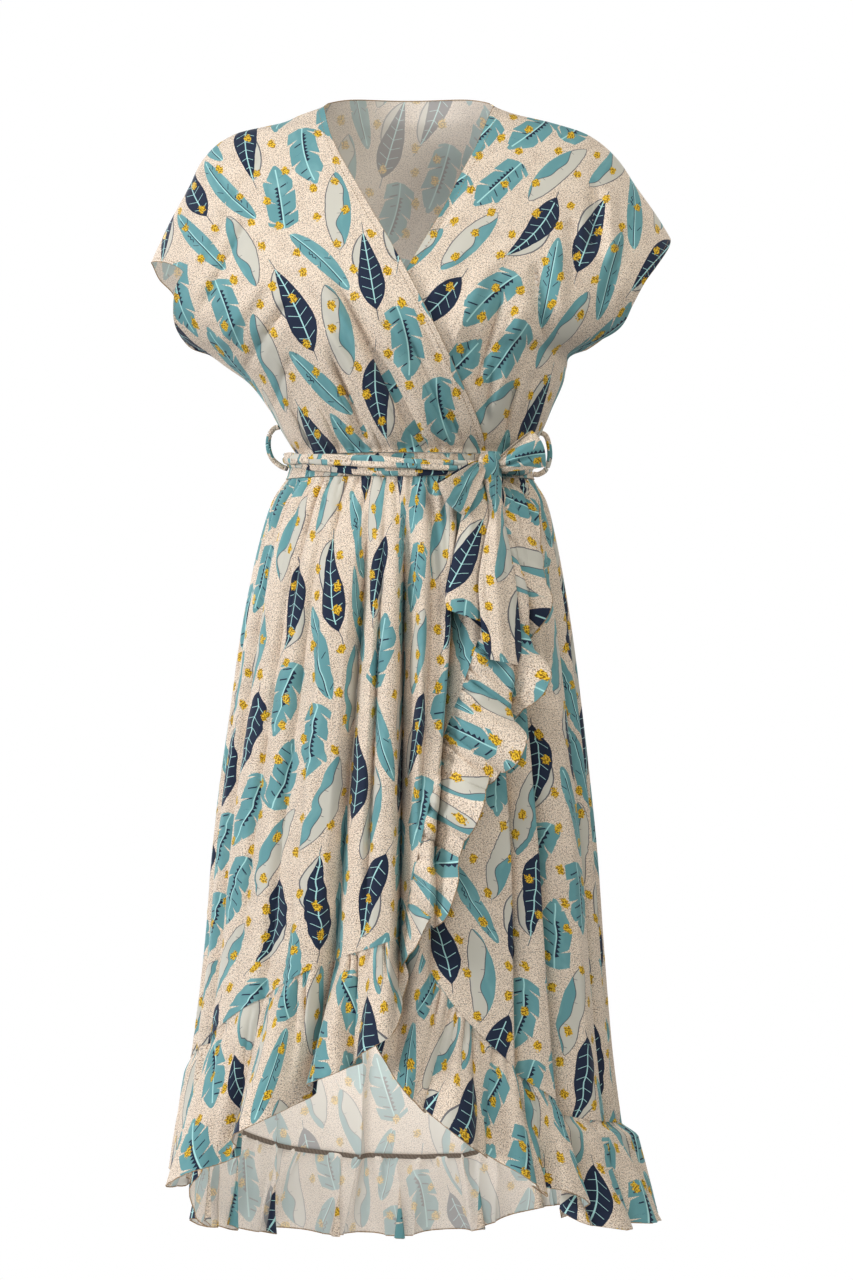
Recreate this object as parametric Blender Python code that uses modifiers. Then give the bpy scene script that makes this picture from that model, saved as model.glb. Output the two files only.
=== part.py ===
"""Wrap dress with a surplice bodice, cut-in-one short sleeves and a flounced high-low wrap skirt.

Every piece of cloth is a wall over a general figure. The wearer faces -Y and +Z is up. The origin is the
middle of the shoulders. Angles round the body start at centre front and grow towards the wearer's left (+X).
"""
import math

import bmesh
import bpy
from mathutils import Vector

# Driving dimensions, in metres
CLOTH = 0.0013                # wall of every cloth piece
SEAM = 0.0003                 # gap between sewn pieces
EDGE_ROOM = 0.0009            # room for a wall that leans at its edge
SIDE_ROOM = 0.12              # half the same room at the skirt's side seams, in degrees round the body
WRAP_LIFT = 0.0075            # the over front of the skirt stands this far off the under front
BODICE_LIFT = 0.0060          # the same for the bodice
BODICE_EDGE_LIFT = 0.0036     # and where it is sewn to the waist
WAIST_LIFT = 0.0030           # the over front of the skirt, where it is sewn to the waist
WRAP_REACH = 0.083            # how far past centre each front's edge crosses at the waist
CUFF_SHARE = 0.45             # share of a panel's outer edge that is cuff; the rest is side seam
NECK_SHARE = 0.24             # share of the back's upper edge that is neckline
NAPE = 0.020                  # height of the back neckline at centre back
BACK_GATHERS = 3              # gathers on each half of the bodice back
BACK_GATHER_DEPTH = 0.005
SKIRT_CORNER = 0.61           # share of a flounce edge that is the front's upright edge; the rest is its hem
RUFFLE_DEPTH = 0.095          # flounce, from its seam to its hem
FLUTE_DEPTH = 0.021           # how far a flute stands out at the hem
FRONT_FLUTES = 11
BACK_FLUTES = 8
FLARE = 0.012                 # how far the whole flounce stands out at its hem
NARROW_END = 0.55             # depth of a front flounce at the waist, as a share of the full depth
CASING_TOP = -0.368
CASING_BOTTOM = -0.392
CASING_WALL = 0.0024
STRAP_WIDTH = 0.0115          # the tie, folded to a strap round the waist
STRAP_WALL = 0.0018
LOWER_STRAP_OUT = 0.0030      # inner face of each turn of the tie, out from the casing's inner face
UPPER_STRAP_OUT = 0.0062
KNOT_TURN = 36.0              # where the bow is tied, in degrees from centre front
KNOT_HEIGHT = -0.3825
KNOT_SIZE = (0.023, 0.015, 0.025)
KNOT_TOP = 0.82               # its width at the top, as a share of its width at the bottom
KNOT_ROUND = 0.005
BOW_PINCH = 0.006             # half width of a bow loop at the knot
BOW_HOLLOW = 0.0018           # half the space inside a bow loop
BOW_ROOM = 0.0055             # from the knot to the middle of a loop's pinched end
BOW_FORWARD = 0.004           # the loops leave the front half of the knot
BOW_LEAN = 0.16               # and lean away from the body
CARRIER_RADIUS = 0.0021       # rouleau of a belt loop
CARRIER_POINTS = 13
RING_SEGMENTS = 36            # of the bands round the waist
LOOP_SEGMENTS = 12            # of a bow loop
FOLD_RUN = 0.18               # a skirt fold reaches its full depth this far below its start
LOWEST_HEM = -1.2             # height at which a skirt fold has drifted to its angle at the hem
OUTWARDS = 1.0                # a Solidify offset that leaves the sheet on the wall's inner face
MATTE = 0.85                  # roughness of the cloth
COLLECTION = "wrap_dress"

PRINT_GROUND = (0.69, 0.55, 0.39, 1.0)
TIE_GROUND = (0.66, 0.53, 0.38, 1.0)

# Bodice and sleeves as sections of an upright figure, from the neck down: half widths to the wearer's right
# and left, and depths in front of and behind the side seam. The sleeves are part of the width.
BODICE_COLUMNS = ("height", "right", "left", "front", "back")
BODICE_SECTIONS = (
    (0.024, 0.070, 0.071, 0.024, 0.044),
    (0.006, 0.091, 0.093, 0.030, 0.050),
    (-0.004, 0.117, 0.120, 0.034, 0.052),
    (-0.013, 0.138, 0.158, 0.039, 0.056),
    (-0.025, 0.188, 0.194, 0.047, 0.061),
    (-0.049, 0.219, 0.224, 0.062, 0.072),
    (-0.081, 0.236, 0.246, 0.079, 0.084),
    (-0.114, 0.254, 0.269, 0.095, 0.093),
    (-0.143, 0.268, 0.286, 0.108, 0.099),
    (-0.163, 0.277, 0.294, 0.117, 0.102),
    (-0.190, 0.287, 0.288, 0.127, 0.104),
    (-0.215, 0.277, 0.268, 0.134, 0.105),
    (-0.235, 0.258, 0.241, 0.137, 0.104),
    (-0.250, 0.237, 0.212, 0.137, 0.102),
    (-0.262, 0.214, 0.177, 0.136, 0.100),
    (-0.275, 0.196, 0.171, 0.133, 0.097),
    (-0.293, 0.178, 0.167, 0.129, 0.094),
    (-0.320, 0.155, 0.155, 0.121, 0.092),
    (-0.339, 0.143, 0.148, 0.113, 0.091),
    (-0.356, 0.136, 0.143, 0.104, 0.090),
    (-0.368, 0.132, 0.139, 0.094, 0.086),
)

# The seam over the shoulder and arm, as heights from the neck to the tip of the sleeve, for the wearer's right
# (-1) and left (1)
SHOULDER_HEIGHTS = {
    -1: (0.006, -0.004, -0.013, -0.019, -0.025, -0.033, -0.049, -0.081, -0.114, -0.143, -0.163),
    1: (0.006, -0.004, -0.009, -0.013, -0.019, -0.025, -0.036, -0.058, -0.084, -0.112, -0.137),
}
UNDERARM = {-1: -0.262, 1: -0.257}    # height of the upper end of each side seam

# Cuff edges between the tip of the sleeve and the underarm, as x from the middle and height
CUFF_FRONT = {
    -1: ((-0.256, -0.172), (-0.246, -0.190), (-0.249, -0.214), (-0.246, -0.238), (-0.236, -0.254)),
    1: ((0.279, -0.150), (0.266, -0.170), (0.251, -0.191), (0.239, -0.213), (0.225, -0.238)),
}
CUFF_BACK = {
    -1: ((-0.271, -0.177), (-0.259, -0.189), (-0.250, -0.205), (-0.242, -0.226), (-0.231, -0.247)),
    1: ((0.277, -0.152), (0.263, -0.172), (0.247, -0.192), (0.233, -0.213), (0.216, -0.237)),
}
# Neck edge of a front between the shoulder and its end at the waist, as x from the middle and height
NECK_EDGE = {
    -1: ((-0.074, -0.040), (-0.043, -0.093), (-0.016, -0.139), (0.004, -0.183), (0.033, -0.244),
         (0.059, -0.306), (0.076, -0.346)),
    1: ((0.070, -0.047), (0.052, -0.081), (0.033, -0.119), (0.005, -0.160), (-0.022, -0.214),
        (-0.048, -0.280), (-0.069, -0.338)),
}

# Skirt sections, from the waist down
SKIRT_SECTIONS = (
    (-0.368, 0.132, 0.139, 0.094, 0.086),
    (-0.394, 0.133, 0.139, 0.094, 0.086),
    (-0.402, 0.136, 0.141, 0.096, 0.088),
    (-0.420, 0.146, 0.149, 0.103, 0.095),
    (-0.450, 0.156, 0.157, 0.110, 0.105),
    (-0.500, 0.168, 0.167, 0.119, 0.116),
    (-0.570, 0.181, 0.178, 0.129, 0.127),
    (-0.650, 0.192, 0.188, 0.137, 0.135),
    (-0.720, 0.202, 0.196, 0.142, 0.142),
    (-0.800, 0.211, 0.204, 0.148, 0.149),
    (-0.900, 0.219, 0.211, 0.154, 0.157),
    (-1.000, 0.231, 0.219, 0.161, 0.166),
    (-1.060, 0.240, 0.226, 0.166, 0.171),
    (-1.160, 0.250, 0.240, 0.173, 0.178),
    (-1.270, 0.258, 0.252, 0.178, 0.184),
)

# The two turns of the tie, as the height of their middle at an angle round the body
STRAP_COLUMNS = ("angle", "upper", "lower")
STRAP_PATH = (
    (-180.0, -0.3700, -0.3825),
    (-120.0, -0.3690, -0.3760),
    (-90.0, -0.3680, -0.3725),
    (-60.0, -0.3705, -0.3775),
    (-35.0, -0.3730, -0.3830),
    (-12.0, -0.3765, -0.3850),
    (10.0, -0.3795, -0.3820),
    (36.0, -0.3825, -0.3825),
    (62.0, -0.3770, -0.3815),
    (90.0, -0.3700, -0.3745),
    (120.0, -0.3690, -0.3770),
    (180.0, -0.3700, -0.3825),
)

# Hanging ends of the tie: edges from the middle of the body, and how far they hang off the skirt
TAIL_COLUMNS = ("height", "inner", "outer", "off")
WIDE_TAIL_SLANT = 0.012       # the lower edge is cut on a slant, and its outer end is this much lower
NARROW_TAIL_SLANT = 0.006
TAIL_CREASE = 0.002
WIDE_TAIL = (
    (-0.3965, 0.0735, 0.0872, 0.0095),
    (-0.425, 0.0612, 0.0885, 0.0112),
    (-0.455, 0.0539, 0.0880, 0.0130),
    (-0.500, 0.0444, 0.0830, 0.0165),
    (-0.531, 0.0392, 0.0777, 0.0195),
    (-0.546, 0.0420, 0.0770, 0.0210),
)
NARROW_TAIL = (
    (-0.3965, 0.0880, 0.1000, 0.0130),
    (-0.436, 0.0889, 0.1008, 0.0175),
    (-0.460, 0.0830, 0.1070, 0.0200),
    (-0.505, 0.0746, 0.1140, 0.0240),
    (-0.540, 0.0756, 0.1160, 0.0270),
    (-0.584, 0.0787, 0.1200, 0.0300),
)

# Belt loops in the side seams, as distance out from the casing and height
RIGHT_CARRIER = ((0.0125, -0.345), (0.0160, -0.349), (0.0185, -0.360), (0.0172, -0.372), (0.0115, -0.3815),
                 (0.0050, -0.3865))
LEFT_CARRIER = ((0.0105, -0.350), (0.0170, -0.357), (0.0192, -0.370), (0.0165, -0.383), (0.0095, -0.3885),
                (0.0048, -0.3885))

# Edges that the flounces are sewn to, as angle round the body in degrees and height
EDGE_COLUMNS = ("share", "angle", "height")
OVER_EDGE = (
    (0.00, 47.0, -0.396),
    (0.12, 37.5, -0.458),
    (0.25, 26.0, -0.545),
    (0.38, 15.5, -0.640),
    (0.50, 7.0, -0.730),
    (0.62, -1.5, -0.816),
    (0.72, -12.0, -0.880),
    (0.82, -31.0, -0.936),
    (0.91, -57.0, -0.993),
    (1.00, -90.0, -1.033),
)
UNDER_EDGE = (
    (0.00, -47.0, -0.396),
    (0.14, -37.0, -0.475),
    (0.28, -26.0, -0.575),
    (0.42, -14.0, -0.695),
    (0.54, -4.0, -0.805),
    (0.64, 4.0, -0.890),
    (0.72, 11.0, -0.934),
    (0.79, 20.0, -0.972),
    (0.86, 36.0, -1.008),
    (0.93, 58.0, -1.060),
    (1.00, 90.0, -1.092),
)
BACK_EDGE = (
    (0.00, 90.0, -1.092),
    (0.17, 115.0, -1.120),
    (0.34, 145.0, -1.148),
    (0.50, 180.0, -1.159),
    (0.67, 212.0, -1.148),
    (0.82, 238.0, -1.108),
    (0.92, 256.0, -1.058),
    (1.00, 270.0, -1.033),
)

# The largest folds of the skirt: troughs that run down it and drift round it
FOLD_COLUMNS = ("angle_top", "angle_hem", "depth", "half_width", "starts")
SKIRT_FOLDS = (
    (-66.0, -70.0, 0.008, 11.0, -0.46),
    (-40.0, -47.0, 0.011, 11.0, -0.45),
    (-20.0, -31.0, 0.013, 10.0, -0.44),
    (-2.0, -3.5, 0.016, 10.0, -0.42),
    (23.0, 17.0, 0.011, 10.0, -0.43),
    (45.0, 47.0, 0.014, 10.0, -0.45),
    (66.0, 69.0, 0.009, 10.0, -0.47),
    (113.0, 114.0, 0.011, 11.0, -0.45),
    (140.0, 137.0, 0.014, 12.0, -0.43),
    (166.0, 164.0, 0.011, 11.0, -0.46),
    (190.0, 194.0, 0.015, 12.0, -0.44),
    (216.0, 220.0, 0.011, 11.0, -0.45),
    (244.0, 246.0, 0.010, 11.0, -0.47),
)

# Long gathers of each bodice front, as ridges: from a place on the shoulder seam to one on the waist seam,
# both as a share of the seam from the neck outwards, and where they begin going down
GATHER_COLUMNS = ("share_top", "share_waist", "height", "half_width", "starts")
BODICE_GATHERS = (
    (0.22, 0.17, 0.0065, 0.085, 0.35),
    (0.42, 0.38, 0.0080, 0.090, 0.30),
    (0.62, 0.62, 0.0065, 0.100, 0.45),
)


def pick(columns, rows, name):
    """One named column of a table as a list."""
    place = columns.index(name)
    return [row[place] for row in rows]


def smooth_between(keys, values, at):
    """Cubic Hermite reading of a table whose keys run one way."""
    if keys[0] > keys[-1]:
        keys = keys[::-1]
        values = values[::-1]
    if at <= keys[0]:
        return values[0]
    if at >= keys[-1]:
        return values[-1]
    last = len(keys) - 1
    low = max(i for i in range(last) if keys[i] <= at)
    span = keys[low + 1] - keys[low]

    def slope(i):
        before = max(i - 1, 0)
        after = min(i + 1, last)
        return (values[after] - values[before]) / (keys[after] - keys[before])

    t = (at - keys[low]) / span
    start = (1 + 2 * t) * (1 - t) ** 2 * values[low] + t * (1 - t) ** 2 * span * slope(low)
    finish = t * t * (3 - 2 * t) * values[low + 1] + t * t * (t - 1) * span * slope(low + 1)
    return start + finish


def section(rows, name, height):
    """A size of the body section at a height."""
    return smooth_between(pick(BODICE_COLUMNS, rows, "height"), pick(BODICE_COLUMNS, rows, name), height)


def edge_at(rows, share):
    """Angle in radians and height at a share of a flounce edge."""
    keys = pick(EDGE_COLUMNS, rows, "share")
    angle = smooth_between(keys, pick(EDGE_COLUMNS, rows, "angle"), share)
    height = smooth_between(keys, pick(EDGE_COLUMNS, rows, "height"), share)
    return math.radians(angle), height


def ease(low, high, value):
    """Smooth step from 0 at low to 1 at high."""
    t = min(max((value - low) / (high - low), 0.0), 1.0)
    return t * t * (3 - 2 * t)


def bump(distance):
    """Soft hill: 1 at no distance, 0 from a distance of 1."""
    return math.cos(min(abs(distance), 1.0) * math.pi / 2) ** 2


def mixed(a, b, t):
    return a + (b - a) * t


# ---- bodice ----

def bodice_depth(x, height, side):
    """How far the bodice stands in front of ("front") or behind ("back") its side seams."""
    half = section(BODICE_SECTIONS, "left" if x > 0 else "right", height)
    inside = max(1.0 - (x / half) ** 2, 0.0)
    return section(BODICE_SECTIONS, side, height) * math.sqrt(inside)


def outline_x(height, hand):
    """Outline of the bodice at a height, to one side: the wearer's right is -1, the left is +1."""
    return hand * section(BODICE_SECTIONS, "left" if hand > 0 else "right", height)


def along(points, share):
    """Point at a share of a smooth line through points that are evenly shared out."""
    keys = [i / (len(points) - 1) for i in range(len(points))]
    return [smooth_between(keys, [p[axis] for p in points], share) for axis in range(len(points[0]))]


def shoulder_point(hand, share):
    heights = SHOULDER_HEIGHTS[hand]
    keys = [i / (len(heights) - 1) for i in range(len(heights))]
    height = smooth_between(keys, list(heights), share)
    return [outline_x(height, hand), height]


def side_point(hand, share):
    """Side seam from the underarm (0) down to the waist (1)."""
    height = mixed(UNDERARM[hand], CASING_TOP + EDGE_ROOM, share)
    return [outline_x(height, hand), height]


def coons(top, bottom, start, end, u, v):
    """Point of a patch between four edge lines, each a function of a share."""
    corners = (top(0), top(1), bottom(0), bottom(1))
    point = []
    for axis in range(2):
        across = mixed(start(v)[axis], end(v)[axis], u)
        down = mixed(top(u)[axis], bottom(u)[axis], v)
        upper = mixed(corners[0][axis], corners[1][axis], u)
        lower = mixed(corners[2][axis], corners[3][axis], u)
        point.append(across + down - mixed(upper, lower, v))
    return point


def outer_edge(table, hand):
    """Line from the tip of a sleeve along its cuff to the underarm, then down the side seam."""
    points = (shoulder_point(hand, 1), *table[hand], side_point(hand, 0))

    def line(share):
        if share <= CUFF_SHARE:
            return along(points, share / CUFF_SHARE)
        return side_point(hand, (share - CUFF_SHARE) / (1 - CUFF_SHARE))

    return line


def neck_edge(hand, waist):
    """Line from the shoulder to the end of a front's edge at the waist."""
    points = (shoulder_point(hand, 0), *NECK_EDGE[hand], (-hand * WRAP_REACH, waist))
    return lambda share: along(points, share)


def crowded_rows(v):
    """Rows closer together at the shoulder."""
    return v ** 1.25


def crowded_columns(u):
    """Columns closer together at the cuff and the side seam."""
    return mixed(u, math.sin(math.pi * u / 2), 0.7)


def over_edge_x(height):
    """Where the edge of the over front crosses the body at a height."""
    rows = NECK_EDGE[-1]
    return smooth_between([p[1] for p in rows], [p[0] for p in rows], height)


def bodice_front(hand, lifted):
    """Surface function of one front, with its half of the sleeve."""
    waist = CASING_TOP + EDGE_ROOM
    neck = neck_edge(hand, waist)
    outer = outer_edge(CUFF_FRONT, hand)

    def lower(u):
        return [mixed(-hand * WRAP_REACH, outline_x(waist, hand), u), waist]

    def surface(u, v):
        u = crowded_columns(u)
        v = crowded_rows(v)
        x, height = coons(lambda s: shoulder_point(hand, s), lower, neck, outer, u, v)
        depth = bodice_depth(x, height, "front")
        # The gathers fade out towards the seams, the sleeve and, on the under front, the edge that lies on it.
        on_body = ease(0.02, 0.06, depth) * (1 - ease(0.17, 0.22, abs(x)))
        if not lifted:
            on_body *= ease(0.004, 0.030, x - over_edge_x(height))
        for top, low, rise, half, starts in BODICE_GATHERS:
            middle = mixed(top, low, v)
            grown = ease(starts, starts + 0.35, v) * (1 - 0.75 * ease(0.88, 1.0, v))
            depth += rise * bump((u - middle) / half) * grown * on_body
        if lifted:
            lift = mixed(BODICE_EDGE_LIFT, BODICE_LIFT, ease(CASING_TOP, CASING_TOP + 0.05, height))
            beyond_under_front = ease(-0.118, -0.085, x)
            below_shoulder = ease(-0.02, -0.10, height)
            depth += lift * beyond_under_front * below_shoulder
        return Vector((x, -depth - SEAM / 2, height))

    return surface


def bodice_back(u, v):
    """Surface function of the back: u runs from the wearer's right cuff to the left one."""
    v = crowded_rows(v)
    hand = -1 if u < 0.5 else 1
    out = crowded_columns(abs(u - 0.5) * 2)
    waist = CASING_TOP + EDGE_ROOM

    def upper(s):
        if s < NECK_SHARE:
            t = s / NECK_SHARE
            end, height = shoulder_point(hand, 0)
            return [end * t, mixed(NAPE, height, t ** 2.5)]
        return shoulder_point(hand, (s - NECK_SHARE) / (1 - NECK_SHARE))

    def lower(s):
        return [outline_x(waist, hand) * s, waist]

    def middle(s):
        return [0.0, mixed(NAPE, waist, s)]

    x, height = coons(upper, lower, middle, outer_edge(CUFF_BACK, hand), out, v)
    depth = bodice_depth(x, height, "back")
    folds = 0.5 - 0.5 * math.cos(2 * math.pi * BACK_GATHERS * out)
    grown = ease(0.55, 0.9, v) * (1 - 0.75 * ease(0.88, 1.0, v)) * ease(0.02, 0.06, depth)
    depth += BACK_GATHER_DEPTH * folds * grown
    return Vector((x, depth + SEAM / 2, height))


# ---- skirt ----

def skirt_point(angle, height, lift=0.0):
    """Point of the skirt at an angle round the body (radians) and a height, with its largest folds."""
    drop = (CASING_BOTTOM - height) / (CASING_BOTTOM - LOWEST_HEM)
    turned = math.degrees(angle)
    fold = 0.0
    for top, hem, depth, half, starts in SKIRT_FOLDS:
        middle = mixed(top, hem, min(drop, 1.0))
        gap = (turned - middle + 180.0) % 360.0 - 180.0
        fold += depth * bump(gap / half) * ease(starts, starts - FOLD_RUN, height)
    half_width = section(SKIRT_SECTIONS, "left" if math.sin(angle) > 0 else "right", height)
    depth = section(SKIRT_SECTIONS, "front" if math.cos(angle) > 0 else "back", height)
    outward = lift - fold
    x = (half_width + outward) * math.sin(angle)
    y = -(depth + outward) * math.cos(angle)
    return Vector((x, y, height))


def front_lift(angle, height):
    """Stand-off of the over front: none at its side seam, full where it lies on the under front."""
    turned = math.degrees(angle)
    at_waist = ease(-82.0, -60.0, turned) * WAIST_LIFT
    below = ease(-88.0, -50.0, turned) * WRAP_LIFT
    return mixed(at_waist, below, ease(-0.40, -0.50, height))


def skirt_front(edge, side_angle, lift):
    """Surface function of one skirt front, between its side seam, the waist and its flounce edge."""
    waist = CASING_BOTTOM - EDGE_ROOM
    side_height = edge[-1][2] + SEAM
    start_angle = math.radians(edge[0][1])

    def top(u):
        return [mixed(side_angle, start_angle, u), waist]

    def bottom(u):
        return edge_at(edge, mixed(1.0, SKIRT_CORNER, u))

    def side(v):
        return [side_angle, mixed(waist, side_height, v)]

    def inner(v):
        if v == 0:
            return [start_angle, waist]
        return edge_at(edge, SKIRT_CORNER * v)

    def surface(u, v):
        angle, height = coons(top, bottom, side, inner, u, v)
        return skirt_point(angle, height, lift(angle, height))

    return surface


def skirt_back(u, v):
    """Surface function of the skirt back: u runs from the wearer's left side seam to the right one."""
    turned = mixed(90.0 + SIDE_ROOM, 270.0 - SIDE_ROOM, u)
    hem = smooth_between(pick(EDGE_COLUMNS, BACK_EDGE, "angle"), pick(EDGE_COLUMNS, BACK_EDGE, "height"), turned)
    return skirt_point(math.radians(turned), mixed(CASING_BOTTOM - EDGE_ROOM, hem + SEAM, v))


def flounce(edge, flutes, lift, hang, fullness):
    """Surface function of a flounce: u along its seam, v from the seam to the hem.

    hang is how far it gives way from square to its seam (0) to straight down (1), and fullness how much of
    its flutes it has, both at a share u. It lies round the body, so it is laid out in angle and height.
    """
    step = 0.004

    def girth(angle, height):
        """Length on the body for a radian."""
        near = 0.02
        return (skirt_point(angle + near, height) - skirt_point(angle - near, height)).length / (2 * near)

    def surface(u, v):
        angle, height = edge_at(edge, u)
        before = edge_at(edge, max(u - step, 0.0))
        after = edge_at(edge, min(u + step, 1.0))
        around = girth(angle, height)
        run = Vector(((after[0] - before[0]) * around, after[1] - before[1])).normalized()
        square = Vector((run.y, -run.x))
        if square.y > 0:
            square = -square
        fall = square.lerp(Vector((0.0, -1.0)), hang(u)).normalized()
        taper = 1.0 if edge is BACK_EDGE else mixed(NARROW_END, 1.0, ease(0.0, 0.10, u))
        reach = SEAM + EDGE_ROOM + (RUFFLE_DEPTH * taper - SEAM) * v
        turned = angle + fall.x * reach / around
        fallen = height + fall.y * reach
        ends = ease(0.0, 0.06, u) * ease(1.0, 0.94, u)
        quarter = math.radians(90.0 - 2 * SIDE_ROOM)
        if edge is BACK_EDGE:
            turned = min(max(turned, math.pi - quarter), math.pi + quarter)
        else:
            turned = min(max(turned, -quarter), quarter)
        wave = (0.5 - 0.5 * math.cos(2 * math.pi * flutes * u)) * FLUTE_DEPTH * v ** 1.2 * ends
        stand = (wave + FLARE * v) * fullness(u)
        return skirt_point(turned, fallen, lift(angle, height) + stand)

    return surface


def always(value):
    return lambda *_: value


def soft_fall(u):
    """The front flounces stand off square at the front and fall straight at the side seam."""
    return mixed(0.58, 1.0, ease(0.6, 0.95, u))


def free_flutes(u):
    return mixed(0.35, 1.0, ease(0.05, 0.35, u))


def pressed_then_free(u):
    """The under flounce lies flat behind the over front, and is free below it."""
    return mixed(0.02, 1.0, ease(0.60, 0.78, u))


# ---- making the objects ----

def named_material(name, colour, roughness):
    material = bpy.data.materials.new(name)
    material.use_nodes = True
    shader = material.node_tree.nodes["Principled BSDF"]
    shader.inputs["Base Color"].default_value = colour
    shader.inputs["Roughness"].default_value = roughness
    shader.inputs["Metallic"].default_value = 0.0
    return material


def finish_object(name, bm, wall, collection):
    """Turn the faces outwards from the body's axis, and give the sheet its wall outwards."""
    bm.normal_update()
    facing = 0.0
    for face in bm.faces:
        middle = face.calc_center_median()
        facing += face.normal.dot(Vector((middle.x, middle.y, 0.0))) * face.calc_area()
    if facing < 0:
        bmesh.ops.reverse_faces(bm, faces=bm.faces)
    mesh = bpy.data.meshes.new(name)
    bm.to_mesh(mesh)
    bm.free()
    mesh.shade_smooth()
    thing = bpy.data.objects.new(name, mesh)
    collection.objects.link(thing)
    thicken = thing.modifiers.new("wall", "SOLIDIFY")
    thicken.thickness = wall
    thicken.offset = OUTWARDS
    tie = name.startswith(("belt", "bow"))
    mesh.materials.append(named_material(name + "_cloth", TIE_GROUND if tie else PRINT_GROUND, MATTE))
    return thing


def cloth_panel(name, across, down, surface, collection, wall=CLOTH):
    """A sheet over a surface function of two shares, with a wall."""
    bm = bmesh.new()
    bmesh.ops.create_grid(bm, x_segments=across, y_segments=down, size=0.5)
    for vert in bm.verts:
        u = min(max(vert.co.x + 0.5, 0.0), 1.0)
        v = min(max(0.5 - vert.co.y, 0.0), 1.0)
        vert.co = surface(u, v)
    return finish_object(name, bm, wall, collection)


def band(name, segments, surface, collection, wall):
    """A closed ring of cloth over a function of the turn (radians) and a share down."""
    bm = bmesh.new()
    bmesh.ops.create_cone(bm, cap_ends=False, segments=segments, radius1=1.0, radius2=1.0, depth=1.0)
    for vert in bm.verts:
        turn = math.atan2(vert.co.x, -vert.co.y)
        vert.co = surface(turn, 0.5 - vert.co.z)
    return finish_object(name, bm, wall, collection)


def waist_place(turn, height, out):
    half = section(SKIRT_SECTIONS, "left" if math.sin(turn) > 0 else "right", CASING_TOP)
    depth = section(SKIRT_SECTIONS, "front" if math.cos(turn) > 0 else "back", CASING_TOP)
    return Vector(((half + out) * math.sin(turn), -(depth + out) * math.cos(turn), height))


def casing(turn, v):
    return waist_place(turn, mixed(CASING_TOP, CASING_BOTTOM, v), 0.0)


def strap(which, out):
    """Surface function of one turn of the tie."""
    angles = pick(STRAP_COLUMNS, STRAP_PATH, "angle")
    heights = pick(STRAP_COLUMNS, STRAP_PATH, which)

    def surface(turn, v):
        middle = smooth_between(angles, heights, math.degrees(turn))
        return waist_place(turn, middle + STRAP_WIDTH * (0.5 - v), out)

    return surface


def tail(rows, slant):
    """Surface function of a hanging end of the tie."""
    shares = [i / (len(rows) - 1) for i in range(len(rows))]

    def surface(u, v):
        height, inner, outer, off = [smooth_between(shares, pick(TAIL_COLUMNS, rows, name), v)
                                     for name in TAIL_COLUMNS]
        x = mixed(inner, outer, u)
        cut = slant * u * ease(0.7, 1.0, v)
        half = section(SKIRT_SECTIONS, "left", height)
        depth = section(SKIRT_SECTIONS, "front", height) * math.sqrt(max(1 - (x / half) ** 2, 0.0))
        crease = TAIL_CREASE * math.sin(math.pi * 2 * u) * ease(0.1, 0.5, v)
        return Vector((x, -(depth + off + crease), height - cut))

    return surface


def knot_frame():
    """Middle of the knot, and the directions across it (towards the left) and out of it."""
    turn = math.radians(KNOT_TURN)
    place = waist_place(turn, KNOT_HEIGHT, 0.0)
    near = 0.01
    across = (waist_place(turn + near, KNOT_HEIGHT, 0.0) - place).normalized()
    out = Vector((across.y, -across.x, 0.0))
    return place + out * (UPPER_STRAP_OUT + STRAP_WALL + SEAM + KNOT_SIZE[1] / 2), across, out


def bow_loop(hand, slope, length, half_end):
    """Surface function of a bow loop, as a flat teardrop of strip, leaving the knot at a slope."""
    middle, across, out = knot_frame()
    along_loop = across * math.cos(slope) * hand + Vector((0, 0, 1)) * math.sin(slope)
    wide = along_loop.cross(out).normalized()
    along_loop = (along_loop + out * BOW_LEAN).normalized()
    start = middle + across * hand * (KNOT_SIZE[0] / 2 + BOW_ROOM) + out * BOW_FORWARD

    def surface(turn, v):
        reach = 0.5 - 0.5 * math.cos(turn)
        half = mixed(BOW_PINCH, half_end, reach ** 0.8)
        thick = BOW_HOLLOW * math.copysign(abs(math.sin(turn)) ** 0.6, math.sin(turn))
        return start + along_loop * length * reach + wide * half * (2 * v - 1) + out * thick

    return surface


def carrier(name, hand, path, collection):
    """A belt loop: a rouleau that stands out of the side seam round the tie."""
    half = section(SKIRT_SECTIONS, "left" if hand > 0 else "right", CASING_TOP)
    curve = bpy.data.curves.new(name, "CURVE")
    curve.dimensions = "3D"
    curve.bevel_depth = CARRIER_RADIUS
    curve.bevel_resolution = 1
    curve.use_fill_caps = True
    line = curve.splines.new("POLY")
    line.points.add(CARRIER_POINTS - 1)
    for i in range(CARRIER_POINTS):
        out, height = along(path, i / (CARRIER_POINTS - 1))
        line.points[i].co = (hand * (half + out), 0.0, height, 1.0)
    thing = bpy.data.objects.new(name, curve)
    curve.materials.append(named_material(name + "_cloth", TIE_GROUND, MATTE))
    collection.objects.link(thing)
    return thing


def knot(name, collection):
    """The knot: a rounded block of wrapped cloth."""
    middle, across, _ = knot_frame()
    bm = bmesh.new()
    bmesh.ops.create_cube(bm, size=1.0)
    for vert in bm.verts:
        narrow = KNOT_TOP if vert.co.z > 0 else 1.0
        vert.co = Vector((vert.co.x * KNOT_SIZE[0] * narrow, vert.co.y * KNOT_SIZE[1],
                          vert.co.z * KNOT_SIZE[2]))
    mesh = bpy.data.meshes.new(name)
    bm.to_mesh(mesh)
    bm.free()
    thing = bpy.data.objects.new(name, mesh)
    thing.location = middle
    thing.rotation_euler = (0.0, 0.0, math.atan2(across.y, across.x))
    round_off = thing.modifiers.new("round", "BEVEL")
    round_off.width = KNOT_ROUND
    round_off.segments = 3
    mesh.materials.append(named_material(name + "_cloth", TIE_GROUND, MATTE))
    collection.objects.link(thing)
    return thing


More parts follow.
